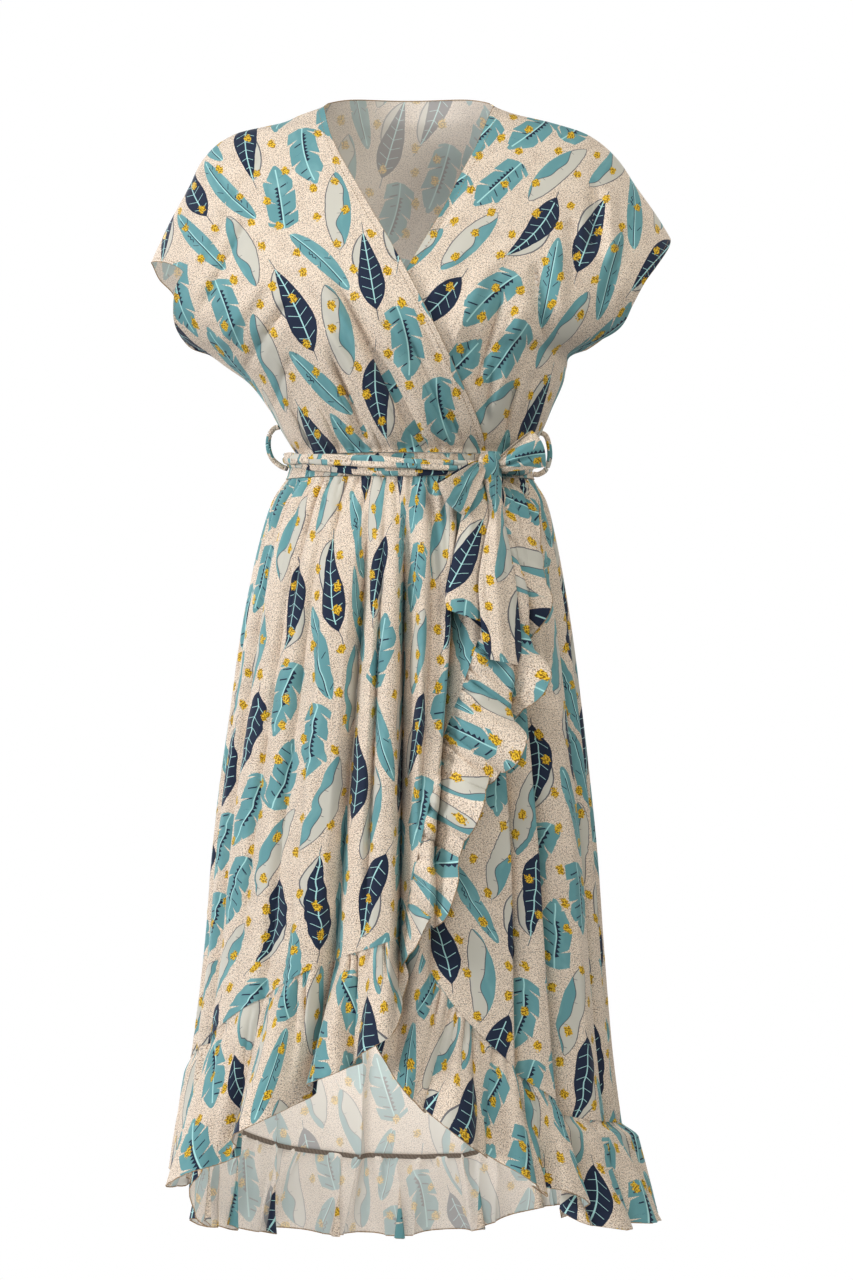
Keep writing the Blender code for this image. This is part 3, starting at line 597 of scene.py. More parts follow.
def bodice_back(hand, u, v):
    """Points of one half of the back: u runs from centre back to the cuff and side seam."""
    waist = CASING_TOP + EDGE_ROOM
    end_x, end_height = shoulder_point(hand, np.zeros(1))

    def upper(share):
        t = share / NECK_SHARE
        on_neck = (end_x * t, mixed(NAPE, end_height, np.clip(t, 0, 1) ** 5))
        on_seam = shoulder_point(hand, np.clip((share - NECK_SHARE) / (1 - NECK_SHARE), 0.0, 1.0))
        return [np.where(share < NECK_SHARE, a, b) for a, b in zip(on_neck, on_seam)]

    def lower(share):
        return outline_x(waist, hand) * share, np.full_like(share, waist)

    def middle(share):
        return np.zeros_like(share), mixed(NAPE, waist, share)

    x, height = coons(upper, lower, middle, outer_edge(CUFF_BACK, hand), u, v)
    depth = bodice_depth(x, height, "back")
    near_edge = ease(0.004, 0.03, depth)
    rows = 0.005 * (0.5 - 0.5 * np.cos(2 * math.pi * 3 * u))
    depth = depth + rows * ease(0.55, 0.9, v) * (1 - 0.75 * ease(0.88, 1.0, v)) * ease(0.02, 0.06, depth)
    sizes = bpy.context.scene.dress_sizes
    folds = creased(BACK_CREASES, x, height)
    folds += waist_gathers(u, v, 23 + hand, 19, sizes.gather_depth) * ease(0.0, 0.03, u)
    depth = depth + folds * near_edge
    return np.stack((x, depth + SEAM / 2, height), -1)


# ---- skirt ----

def turned_to(angle, middle):
    """Degrees between angles round the body, from -180 to 180."""
    return (angle - middle + 180.0) % 360.0 - 180.0


def pucker_rows():
    """Gathers below the waist seam: place round the body, depth, half width, length and drift. Long ones
    lie a finger's width apart, and short ones between them."""
    random = np.random.default_rng(5)
    for count, depth, half, length in ((50, (0.0030, 0.0082), (2.4, 3.8), (0.06, 0.24)),
                                       (112, (0.0016, 0.0046), (1.1, 1.9), (0.014, 0.060))):
        places = (np.arange(count) + random.uniform(-0.38, 0.38, count)) * 360.0 / count
        yield from zip(places, random.uniform(*depth, count), random.uniform(*half, count),
                       random.uniform(*length, count), random.uniform(-3.0, 3.0, count))


def skirt_folds(turned, height):
    """How far the folds and gathers set the skirt in, at angles round the body in degrees."""
    drop = np.clip((CASING_BOTTOM - height) / (CASING_BOTTOM - LOWEST_HEM), 0.0, 1.0)
    total = np.zeros_like(turned)
    for top, middle, hem, depth, half, starts, ends in zip(*SKIRT_FOLDS.values()):
        upper = mixed(top, middle, np.clip(drop * 2, 0, 1))
        place = mixed(upper, hem, np.clip(drop * 2 - 1, 0, 1) ** 1.3)
        grown = ease(starts, starts - 0.16, height) * ease(ends - 0.02, ends + 0.16, height)
        near = turned_to(turned, place)
        total += folded(depth, near / half / np.where(near < 0, 1 - SKEW, 1 + SKEW)) * grown
    gathers = bpy.context.scene.dress_sizes.gather_depth / GATHER_DEPTH
    for place, depth, half, length, drift in pucker_rows():
        down = (CASING_BOTTOM - height) / length
        near = turned_to(turned, place + drift * np.clip(down, 0, 1))
        spread = half * (1 + 0.6 * np.clip(down, 0, 1)) * np.where(near < 0, 1 - SKEW / 2, 1 + SKEW / 2)
        total += gathers * depth * valley(near / spread) * ease(1.0, 0.15, down) * ease(-0.05, 0.10, down)
    return total


def round_body(turned, height, level, out):
    """Points out from the skirt's section at a level, at angles round the body (degrees)."""
    angle = np.radians(turned)
    half_width = sided(np.sin(angle) > 0, SKIRT, "left", "right", level)
    depth = sided(np.cos(angle) > 0, SKIRT, "front", "back", level)
    return np.stack(np.broadcast_arrays((half_width + out) * np.sin(angle), -(depth + out) * np.cos(angle),
                                        height), -1)


def skirt_point(turned, height, lift=0.0):
    """Points of the folded skirt at angles round the body (degrees) and heights."""
    return round_body(turned, height, height, lift - skirt_folds(turned, height))


def front_lift(turned, height):
    at_waist = ease(-82.0, -60.0, turned) * WAIST_LIFT
    below = ease(-88.0, -50.0, turned) * WRAP_LIFT
    return mixed(at_waist, below, ease(-0.40, -0.50, height))


def no_lift(turned, height):
    return np.zeros_like(turned)


def skirt_front(edge, side, lift, u, v):
    """Points of one skirt front, with their angles and heights."""
    waist = CASING_BOTTOM - EDGE_ROOM
    side_height = edge["height"][-1] + SEAM
    start = edge["angle"][0]

    def place(share):
        return read(edge, "share", "angle", share), read(edge, "share", "height", share)

    def top(share):
        return mixed(side, start, share), np.full_like(share, waist)

    def bottom(share):
        return place(mixed(1.0, SKIRT_CORNER, share))

    def side_line(share):
        return np.full_like(share, side), mixed(waist, side_height, share)

    def inner(share):
        angle, height = place(SKIRT_CORNER * share)
        return angle, np.where(share == 0, waist, height)

    turned, height = coons(top, bottom, side_line, inner, u, v)
    return skirt_point(turned, height, lift(turned, height)), turned, height


def skirt_back(u, v):
    turned = mixed(90.0, 270.0, u)
    hem = smooth(BACK_EDGE["angle"], BACK_EDGE["height"], turned)
    height = mixed(CASING_BOTTOM - EDGE_ROOM, hem + SEAM, v)
    return skirt_point(turned, height), turned, height


def fluted(rows, u):
    total = np.zeros_like(u)
    for share, out, half in zip(*rows.values()):
        total += out * bump((u - share) / half)
    return total


def flounce(edge, flutes, lift, hang, fullness, u, v):
    """Points of a flounce: u along its seam, v from the seam to the hem."""
    step = 0.004
    near = 0.02

    def place(share):
        share = np.clip(share, 0.0, 1.0)
        return read(edge, "share", "angle", share), read(edge, "share", "height", share)

    def girth(turned, height):
        """Length on the body for a radian."""
        half = math.degrees(near)
        gap = (round_body(turned + half, height, height, 0.0)
               - round_body(turned - half, height, height, 0.0))
        return np.linalg.norm(gap, axis=-1) / (2 * near)

    turned, height = place(u)
    before = place(u - step)
    after = place(u + step)
    around = girth(turned, height)
    run = np.stack((np.radians(after[0] - before[0]) * around, after[1] - before[1]), -1)
    run /= np.linalg.norm(run, axis=-1, keepdims=True)
    square = np.stack((run[..., 1], -run[..., 0]), -1)
    square *= np.where(square[..., 1:] > 0, -1.0, 1.0)
    fall = mixed(square, np.array((0.0, -1.0)), hang(u)[..., None])
    fall /= np.linalg.norm(fall, axis=-1, keepdims=True)
    reach = mixed(-0.0015, read(edge, "share", "depth", u), v)
    placed = turned + np.degrees(fall[..., 0] * reach / around)
    fallen = height + fall[..., 1] * reach
    middle = 180.0 if edge is BACK_EDGE else 0.0
    placed = np.clip(placed, middle - 90.0, middle + 90.0)
    ends = ease(0.0, 0.05, u) * ease(1.0, 0.96, u)
    full = fullness(u)
    size = bpy.context.scene.dress_sizes.flute_depth / FLUTE_DEPTH
    wave = fluted(flutes, u) * size * v ** 1.1 * ends
    # The flutes are wider in front than behind, so their flanks lean out along the seam.
    slope = (fluted(flutes, u + step) - fluted(flutes, u - step)) / (2 * step) * size
    lean = -LEAN_MOST * np.tanh(LEAN * slope / LEAN_MOST) * v ** 1.2 * ends * full
    placed = placed + np.degrees(run[..., 0] * lean / around)
    fallen = fallen + run[..., 1] * lean
    placed = np.clip(placed, middle - 90.0, middle + 90.0)
    puckers = seam_puckers(u, v, edge) * ends
    settled = read(edge, "share", "puff", u) * ease(0.0, 0.16, v) + read(edge, "share", "flare", u) * v
    stand = (wave - puckers + settled) * full - 0.0011 * ease(0.05, 0.0, v)
    return skirt_point(placed, fallen, lift(turned, height) + stand)


def seam_puckers(u, v, edge):
    """Small gathers of a flounce along its seam, which open out towards the hem."""
    random = np.random.default_rng(int(abs(edge["height"].sum()) * 1000))
    count = 66 if edge is not BACK_EDGE else 48
    total = np.zeros_like(u)
    for i in range(count):
        middle = (i + random.uniform(0.1, 0.9)) / count
        half = random.uniform(0.45, 0.90) / count
        length = random.uniform(0.25, 1.0)
        size = random.uniform(0.0032, 0.0095)
        shape = valley((u - middle) / (half * (1 + 0.8 * v)))
        total += size * shape * ease(length, 0.12, v) * ease(0.0, 0.06, v)
    return total


# ---- print layout: a repeat of leaves, and the leaf that each face shows ----

REPEAT_COLUMNS = 6
REPEAT_ROWS = 4
COLUMN_STEP = 0.050
ROW_STEP = 0.082
REPEAT = np.array((REPEAT_COLUMNS * COLUMN_STEP, REPEAT_ROWS * ROW_STEP))
TORN, LONG, DARK, SPLIT = range(4)
LEAF_LENGTH = {TORN: 0.078, LONG: 0.100, DARK: 0.094, SPLIT: 0.098}
LEAF_WIDTH = {TORN: 0.033, LONG: 0.022, DARK: 0.038, SPLIT: 0.028}
GOLD_SPACING = 0.0365
KIND_ORDER = (TORN, DARK, SPLIT, TORN, LONG, DARK, SPLIT, LONG)
TURNS = (-10, 8, -4, 14, 10, -13, 4, -8, 12, -2, -15, 7)


def charted_leaves():
    """The repeat's leaves: place, turn, half sizes, kind and a number of their own between 0 and 1."""
    random = np.random.default_rng(8)
    rows = []
    for column in range(REPEAT_COLUMNS):
        for row in range(REPEAT_ROWS):
            place = np.array(((column + 0.5) * COLUMN_STEP, (row + 0.5 + 0.5 * (column % 2)) * ROW_STEP))
            place += random.uniform(-0.004, 0.004, 2)
            kind = KIND_ORDER[(column * 3 + row * 5) % len(KIND_ORDER)]
            turn = math.radians(TURNS[(column * 7 + row * 5) % len(TURNS)] + random.uniform(-4, 4))
            if random.random() < 0.5:
                turn += math.pi
            size = random.uniform(0.92, 1.06)
            flip = random.choice((-1.0, 1.0))
            rows.append((*place, turn, LEAF_LENGTH[kind] / 2 * size, LEAF_WIDTH[kind] / 2 * size * flip,
                         kind, random.random()))
    return spread_out(np.array(rows))


def spread_out(leaves, rounds=120):
    """Leaves moved and turned a little, for some rounds, away from those that they lie on."""
    steps = np.linspace(-0.82, 0.82, 5)
    shifts = np.array([((i - 1) * REPEAT[0], (j - 1) * REPEAT[1]) for i, j in np.ndindex(3, 3)])
    width = np.abs(leaves[:, 4])[:, None] * (1.0 - 0.45 * steps ** 2)
    room = width[:, :, None, None] + width[None, None, :, :] + 0.004
    for _ in range(rounds):
        spine = np.stack((-np.sin(leaves[:, 2]), np.cos(leaves[:, 2])), -1)
        arms = spine[:, None] * (steps[None, :] * leaves[:, 3:4])[..., None]
        places = leaves[:, None, :2] + arms
        push = np.zeros_like(places)
        for shift in shifts:
            gap = places[:, :, None, None] - (places + shift)[None, None]
            distance = np.linalg.norm(gap, axis=-1)
            overlap = np.where(distance > 1e-9, np.maximum(room - distance, 0.0), 0.0)
            if not shift.any():
                overlap[np.arange(len(leaves)), :, np.arange(len(leaves))] = 0.0
            push += (gap / np.maximum(distance, 1e-9)[..., None] * overlap[..., None]).sum(axis=(2, 3))
        leaves[:, :2] += 0.10 * push.sum(axis=1)
        turning = arms[..., 0] * push[..., 1] - arms[..., 1] * push[..., 0]
        leaves[:, 2] += np.clip(60.0 * turning.sum(axis=1), -0.02, 0.02)
    return leaves


LEAVES = charted_leaves()


def leaf_for(centres):
    """For each place of flat cloth, the leaf nearest to it: its row in LEAVES and the repeat it lies in."""
    tile = np.floor(centres / REPEAT)
    inside = centres - tile * REPEAT
    best = np.full(len(centres), np.inf)
    chosen = np.zeros(len(centres), int)
    shift = np.zeros((len(centres), 2))
    for i, (x, z, turn, length, width, *_) in enumerate(LEAVES):
        spine = np.array((-math.sin(turn), math.cos(turn)))
        for step in np.ndindex(3, 3):
            offset = (np.array(step) - 1) * REPEAT
            gap = inside - (np.array((x, z)) + offset)
            reach = np.clip(gap @ spine, -0.7 * length, 0.7 * length)
            distance = np.linalg.norm(gap - reach[:, None] * spine, axis=1) - abs(width)
            closer = distance < best
            best[closer] = distance[closer]
            chosen[closer] = i
            shift[closer] = offset
    return chosen, tile * REPEAT + shift


def leaf_places(flat_corners):
    """Each corner's place on the leaf of its face (along, across), and each face's kind and own number."""
    chosen, shift = leaf_for(flat_corners.mean(axis=1))
    rows = LEAVES[chosen]
    gap = flat_corners - (rows[:, :2] + shift)[:, None, :]
    turn = rows[:, 2][:, None]
    lengthwise = (-np.sin(turn) * gap[..., 0] + np.cos(turn) * gap[..., 1]) / rows[:, 3][:, None]
    across = (np.cos(turn) * gap[..., 0] + np.sin(turn) * gap[..., 1]) / rows[:, 4][:, None]
    motif = np.repeat(rows[:, None, 5:7], flat_corners.shape[1], axis=1)
    return np.stack((lengthwise, across), -1), motif


# ---- flat places of cloth ----

def summed(points, axis):
    """Length along a grid of points from its first row or column."""
    steps = np.linalg.norm(np.diff(points, axis=axis), axis=-1)
    start = np.zeros_like(np.take(steps, [0], axis=axis))
    return np.concatenate((start, np.cumsum(steps, axis=axis)), axis=axis)


def run_along(line):
    """Length along a line of points from its start."""
    return summed(np.asarray(line), 0)


def looked_up(grid, low, step, at):
    """Bilinear reading of a regular grid."""
    place = [(np.asarray(value) - start) / size for value, start, size in zip(at, low, step)]
    index = [np.clip(np.floor(p).astype(int), 0, n - 2) for p, n in zip(place, grid.shape)]
    part = [np.clip(p - i, 0.0, 1.0) for p, i in zip(place, index)]
    upper = mixed(grid[index[0], index[1]], grid[index[0] + 1, index[1]], part[0])
    lower = mixed(grid[index[0], index[1] + 1], grid[index[0] + 1, index[1] + 1], part[0])
    return mixed(upper, lower, part[1])


class RoundRuler:
    """Lengths of cloth round the skirt, folds and gathers in, from centre front or another start. Where the
    cloth is gathered its grain runs straighter down than the form does."""

    def __init__(self):
        self.heights = np.linspace(FOOT, CASING_BOTTOM, 180)
        self.turns = np.linspace(-120.0, 300.0, 1261)
        self.run = summed(skirt_point(*np.meshgrid(self.turns, self.heights)), 1)

    def __call__(self, turned, height, start=0.0):
        rise = np.maximum(height - GATHERED_FROM, 0.0)
        height = height - GRAIN_PULL * rise ** 2 / (rise + GRAIN_SOFTNESS)
        low = (self.heights[0], self.turns[0])
        step = (self.heights[1] - self.heights[0], self.turns[1] - self.turns[0])
        reach, begin = (looked_up(self.run, low, step, (height, place))
                        for place in (turned, start + 0 * turned))
        return reach - begin


def bodice_flat(points, side, tilt, shift):
    """Flat places for a bodice panel: lengths across and down, on a grain turned by tilt (degrees)."""
    heights = np.linspace(CASING_TOP - 0.004, FIGURE_TOP, 160)
    across = np.linspace(-0.300, 0.300, 601)
    x, z = np.meshgrid(across, heights)
    grid = np.stack((x, bodice_depth(x, z, side), z), -1)
    run = summed(grid, 1)
    run -= run[:, 300:301]
    width = looked_up(run, (heights[0], across[0]), (heights[1] - heights[0], across[1] - across[0]),
                      (points[..., 2], points[..., 0]))
    profile = np.stack((read(BODICE, "height", side, heights), heights), -1)
    length = np.interp(points[..., 2], heights, run_along(profile))
    turn = math.radians(tilt)
    return np.stack((math.cos(turn) * width - math.sin(turn) * length + shift[0],
                     math.sin(turn) * width + math.cos(turn) * length + shift[1]), -1)


# ---- meshes ----

def grid_shares(across, down, crowd=1.0):
    u, v = np.meshgrid(np.linspace(0.0, 1.0, across + 1), np.linspace(0.0, 1.0, down + 1))
    return u, v ** crowd


def crowded(share):
    """Shares that lie closer together towards 1, where the cloth turns away."""
    return mixed(share, np.sin(math.pi * share / 2), 0.5)


def normals_of(points, closed):
    """Normals of a grid of points."""
    if closed:
        padded = np.concatenate((points[:, -2:-1], points, points[:, 1:2]), axis=1)
        along_row = padded[:, 2:] - padded[:, :-2]
    else:
        along_row = np.gradient(points, axis=1)
    normal = np.cross(np.gradient(points, axis=0), along_row)
    length = np.linalg.norm(normal, axis=-1, keepdims=True)
    return normal / np.maximum(length, 1e-12)


def new_object(name, mesh):
    thing = bpy.data.objects.new(name, mesh)
    bpy.context.scene.collection.objects.link(thing)
    return thing


def mesh_of(name, verts, faces, materials, indices, layers):
    """A mesh from arrays, with a UV map for each named array of corners (faces, 4, 2)."""
    mesh = bpy.data.meshes.new(name)
    mesh.vertices.add(len(verts))
    mesh.vertices.foreach_set("co", np.ascontiguousarray(verts, np.float32).ravel())
    mesh.loops.add(faces.size)
    mesh.loops.foreach_set("vertex_index", np.ascontiguousarray(faces, np.int32).ravel())
    mesh.polygons.add(len(faces))
    mesh.polygons.foreach_set("loop_start", np.arange(0, faces.size, faces.shape[1], dtype=np.int32))
    mesh.update(calc_edges=True)
    for material in materials:
        mesh.materials.append(material)
    mesh.polygons.foreach_set("material_index", np.ascontiguousarray(indices, np.int32))
    for layer_name, corners in layers.items():
        layer = mesh.uv_layers.new(name=layer_name)
        layer.uv.foreach_set("vector", np.ascontiguousarray(corners, np.float32).ravel())
    mesh.shade_smooth()
    mesh.set_sharp_from_angle(angle=math.radians(62))
    mesh.validate()
    return mesh


def cloth(name, points, flat, materials, thickness=None, closed=False, outward=None):
    """A thin shell of cloth on a grid of points: outer face, inner face and the cut edge between them.

    outward gives the direction that the right side faces; without it, that is away from the body's axis."""
    if thickness is None:
        thickness = bpy.context.scene.dress_sizes.cloth
    normal = normals_of(points, closed)
    facing = points * np.array((1.0, 1.0, 0.0)) if outward is None else np.array(outward)
    turned = (normal * facing).sum() < 0
    if turned:
        normal = -normal
    down, across = points.shape[:2]
    count = down * across
    verts = np.concatenate(((points + normal * thickness).reshape(-1, 3), points.reshape(-1, 3)))
    index = np.arange(count).reshape(down, across)
    quads = np.stack((index[:-1, :-1], index[1:, :-1], index[1:, 1:], index[:-1, 1:]), -1).reshape(-1, 4)
    if turned:
        quads = quads[:, ::-1]
    # The rows of a grid run down and its columns across: these corners go anticlockwise seen from outside.
    flat_corners = flat.reshape(-1, 2)[quads]
    leaf, motif = leaf_places(flat_corners)
    faces = [quads, quads[:, ::-1] + count]
    uv = {"flat": [flat_corners, flat_corners[:, ::-1]], "leaf": [leaf, leaf[:, ::-1]],
          "motif": [motif, motif[:, ::-1]]}
    indices = [np.zeros(len(quads)), np.ones(len(quads))]
    quad_index = np.arange(len(quads)).reshape(down - 1, across - 1)
    borders = {(0, 3): quad_index[0], (1, 2): quad_index[-1]}
    if not closed:
        borders[(0, 1)] = quad_index[:, 0]
        borders[(2, 3)] = quad_index[:, -1]
    swap = {0: 3, 1: 2, 2: 1, 3: 0}
    for pair, rim in borders.items():
        a, b = (swap[pair[0]], swap[pair[1]]) if turned else pair
        if (b - a) % 4 != 1:
            a, b = b, a
        strip = np.stack((quads[rim, b], quads[rim, a], quads[rim, a] + count, quads[rim, b] + count), -1)
        faces.append(strip)
        for key, corners in (("flat", flat_corners), ("leaf", leaf), ("motif", motif)):
            near, far = corners[rim, b], corners[rim, a]
            uv[key].append(np.stack((near, far, far, near), 1))
        indices.append(np.full(len(rim), 2))
    layers = {key: np.concatenate(parts) for key, parts in uv.items()}
    mesh = mesh_of(name, verts, np.concatenate(faces), materials, np.concatenate(indices), layers)
    if closed:
        weld_seam(mesh)
    return new_object(name, mesh)


def weld_seam(mesh):
    """Join the first and last columns of a closed band."""
    bm = bmesh.new()
    bm.from_mesh(mesh)
    bmesh.ops.remove_doubles(bm, verts=bm.verts, dist=1e-6)
    bm.to_mesh(mesh)
    bm.free()


def loft(rings, flat, closed_along=False):
    """Part of a mesh: rings of points joined to a tube, with their flat places."""
    count, sides = rings.shape[:2]
    index = np.arange(count * sides).reshape(count, sides)
    right = np.roll(index, -1, axis=1)
    nearer, farther = index, np.roll(index, -1, axis=0)
    next_right = np.roll(right, -1, axis=0)
    faces = np.stack((nearer, right, next_right, farther), -1)
    if not closed_along:
        faces = faces[:-1]
    faces = faces.reshape(-1, 4)
    corners = flat.reshape(-1, 2)[faces]
    # The last column and row start again at nothing; they keep on from their neighbours here.
    for axis in range(2):
        whole = np.ptp(flat[..., axis])
        wrapped = np.ptp(corners[..., axis], 1) > 0.6 * whole + 1e-9
        low = corners[..., axis] < flat[..., axis].mean()
        corners[..., axis] += np.where(wrapped[:, None] & low, whole, 0.0)
    leaf, motif = leaf_places(corners)
    return rings.reshape(-1, 3), faces, {"flat": corners, "leaf": leaf, "motif": motif}


def round_line(line, radius, sides=8, flatness=1.0, shift=(0.0, 0.0)):
    """Loft of a round or flattened cord along a line of points."""
    line = np.asarray(line, float)
    ahead = np.gradient(line, axis=0)
    ahead /= np.maximum(np.linalg.norm(ahead, axis=1, keepdims=True), 1e-12)
    helper = np.where(np.abs(ahead[:, 2:3]) > 0.9, np.array((1.0, 0.0, 0.0)), np.array((0.0, 0.0, 1.0)))
    side = np.cross(ahead, helper)
    side /= np.linalg.norm(side, axis=1, keepdims=True)
    up = np.cross(side, ahead)
    turn = np.arange(sides) * 2 * math.pi / sides
    size = np.broadcast_to(radius, len(line))[:, None, None]
    wide, high = np.cos(turn)[None, :, None], np.sin(turn)[None, :, None]
    ring = side[:, None] * wide * flatness + up[:, None] * high
    rings = line[:, None] + ring * size
    length = run_along(line)
    across = turn * float(np.mean(radius))
    flat = np.stack(np.broadcast_arrays(length[:, None] + shift[0], across[None, :] + shift[1]), -1)
    return loft(rings, flat)


def joined(name, parts, materials):
    """One object from several (verts, faces, layers) parts."""
    verts, faces, layers = [], [], {}
    count = 0
    for points, quads, uv in parts:
        verts.append(points)
        faces.append(quads + count)
        count += len(points)
        for key, corners in uv.items():
            layers.setdefault(key, []).append(corners)
    faces = np.concatenate(faces)
    layers = {key: np.concatenate(value) for key, value in layers.items()}
    mesh = mesh_of(name, np.concatenate(verts), faces, materials, np.zeros(len(faces)), layers)
    return new_object(name, mesh)


def declare(piece, slot, *nodes):
    """Every piece rides on the dress and stands for its nodes; slot is not used."""
    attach(piece, BODY)
    if nodes:
        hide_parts(*nodes)


# ---- node trees ----

class Value:
    """A number, vector or colour in a node tree. Arithmetic between values adds Math nodes."""

    def __init__(self, tree, socket):
        self.tree = tree
        self.socket = socket

    def math(self, operation, *others):
        node = add_node(self.tree, "ShaderNodeMath", operation=operation)
        for socket, value in zip(node.inputs, (self, *others)):
            wire(self.tree, value, socket)
        return Value(self.tree, node.outputs[0])

    def __rsub__(self, other):
        return self.math("MULTIPLY_ADD", -1.0, other)

    def power(self, exponent):
        return self.at_least(0.0).math("POWER", exponent)

    def squared(self):
        return self * self

    def between(self, low, high):
        return self.above(low) * self.below(high)

    def ramp(self, low, high, start=0.0, end=1.0):
        node = add_node(self.tree, "ShaderNodeMapRange", interpolation_type="SMOOTHSTEP")
        for socket, value in zip(node.inputs, (self, low, high, start, end)):
            wire(self.tree, value, socket)
        return Value(self.tree, node.outputs[0])


def math_method(operation):
    return lambda value, *others: value.math(operation, *others)


MATH_METHODS = {
    "__add__": "ADD", "__radd__": "ADD", "__sub__": "SUBTRACT", "__mul__": "MULTIPLY",
    "__rmul__": "MULTIPLY", "__truediv__": "DIVIDE", "size": "ABSOLUTE", "part": "FRACT", "whole": "FLOOR",
    "wave": "SINE", "root": "SQRT", "above": "GREATER_THAN", "below": "LESS_THAN", "at_least": "MAXIMUM",
    "at_most": "MINIMUM",
}
for method, operation in MATH_METHODS.items():
    setattr(Value, method, math_method(operation))


def add_node(tree, kind, **settings):
    node = tree.nodes.new(kind)
    node.location = (180.0 * (len(tree.nodes) % 24), -220.0 * (len(tree.nodes) // 24))
    for name, value in settings.items():
        setattr(node, name, value)
    return node


def wire(tree, value, socket):
    if isinstance(value, Value):
        tree.links.new(value.socket, socket)
    else:
        socket.default_value = value


def split_vector(value):
    node = add_node(value.tree, "ShaderNodeSeparateXYZ")
    wire(value.tree, value, node.inputs[0])
    return [Value(value.tree, socket) for socket in node.outputs]


def vector_of(tree, *parts):
    node = add_node(tree, "ShaderNodeCombineXYZ")
    for socket, value in zip(node.inputs, parts):
        wire(tree, value, socket)
    return Value(tree, node.outputs[0])


def noise(tree, vector, scale, detail=2.0, rough=0.5):
    node = add_node(tree, "ShaderNodeTexNoise")
    for name, value in (("Vector", vector), ("Scale", scale), ("Detail", detail), ("Roughness", rough)):
        wire(tree, value, node.inputs[name])
    return Value(tree, node.outputs["Fac"])


def chance(tree, vector):
    """Random numbers, one for each whole vector: as a value, and three more."""
    node = add_node(tree, "ShaderNodeTexWhiteNoise", noise_dimensions="3D")
    wire(tree, vector, node.inputs["Vector"])
    return Value(tree, node.outputs["Value"]), split_vector(Value(tree, node.outputs["Color"]))


def blended(tree, mask, first, second):
    """first where the mask is 0, second where it is 1."""
    node = add_node(tree, "ShaderNodeMix", data_type="RGBA")
    wire(tree, mask, node.inputs[0])
    wire(tree, first, node.inputs[6])
    wire(tree, second, node.inputs[7])
    return Value(tree, node.outputs[2])


SOCKETS = {"vector": "NodeSocketVector", "colour": "NodeSocketColor", "value": "NodeSocketFloat"}


def new_group(name, inputs, outputs):
    """An empty shader node group with named sockets: the group, its inputs as values, its output node."""
    group = bpy.data.node_groups.new(name, "ShaderNodeTree")
    for direction, sockets in (("INPUT", inputs), ("OUTPUT", outputs)):
        for socket_name, kind in sockets.items():
            group.interface.new_socket(name=socket_name, in_out=direction, socket_type=SOCKETS[kind])
    entry = add_node(group, "NodeGroupInput")
    leave = add_node(group, "NodeGroupOutput")
    return group, {key: Value(group, entry.outputs[key]) for key in inputs}, leave


def give(leave, **results):
    """Results to a group's output node."""
    for name, value in results.items():
        wire(leave.id_data, value, leave.inputs[name])


def placed_group(tree, group, **inputs):
    """A group in a tree, with its own values; its outputs by name."""
    node = add_node(tree, "ShaderNodeGroup", node_tree=group)
    for name, value in inputs.items():
        wire(tree, value, node.inputs[name])
    return {socket.name: Value(tree, socket) for socket in node.outputs}


# ---- shared effects ----

def speckled_ground():
    """Sandy ground: fine brown and grey specks on a pale base."""
    sockets = {"Flat": "vector", "Base": "colour", "Speck": "colour", "Grey": "colour"}
    group, given, leave = new_group("Speckled ground", sockets, {"Colour": "colour"})
    fine = noise(group, given["Flat"], 860.0, 3.0, 0.8)
    broad = noise(group, given["Flat"], 55.0, 1.0, 0.5)
    specks = (fine + (broad - 0.5) * 0.07).ramp(0.515, 0.58)
    grey = noise(group, vector_of(group, *[axis + 3.1 for axis in split_vector(given["Flat"])]), 560.0, 1.0)
    colour = blended(group, specks * 0.92, given["Base"], given["Speck"])
    colour = blended(group, grey.ramp(0.58, 0.66) * 0.6, colour, given["Grey"])
    give(leave, Colour=colour)
    return group


def gold_blots():
    """Small round blots of gold ink, scattered a few centimetres apart, with a mottled face."""
    group, given, leave = new_group("Gold blots", {"Flat": "vector", "Cell": "value", "Bright": "colour",
                                                   "Dark": "colour"}, {"Colour": "colour", "Mask": "value"})
    x, z, _ = split_vector(given["Flat"])
    column = (x / given["Cell"]).whole()
    stagger = (column * 0.37).part()
    row = (z / given["Cell"] + stagger).whole()
    right, up, tall = chance(group, vector_of(group, column, row, 4.0))[1]
    middle_x = (column + 0.24 + right * 0.52) * given["Cell"]
    middle_z = (row - stagger + 0.24 + up * 0.52) * given["Cell"]
    rag = noise(group, given["Flat"], 300.0, 2.0, 0.7)
    reach = (((x - middle_x) / 0.0043).squared()
             + ((z - middle_z) / (0.0048 + tall * 0.0010)).squared()).root()
    mask = (reach + (rag - 0.5) * 2.0).ramp(1.04, 0.92)
    flecks = noise(group, given["Flat"], 620.0, 1.0).ramp(0.44, 0.54)
    colour = blended(group, flecks, given["Dark"], given["Bright"])
    give(leave, Colour=colour, Mask=mask)
    return group


def crepe_grain():
    """The fine pebbled face of crepe, as a height."""
    group, given, leave = new_group("Crepe grain", {"Flat": "vector"}, {"Height": "value"})
    pebble = noise(group, given["Flat"], 1500.0, 1.0, 0.6)
    soft = noise(group, given["Flat"], 160.0, 2.0, 0.5)
    give(leave, Height=pebble * 0.55 + soft * 0.45)
    return group


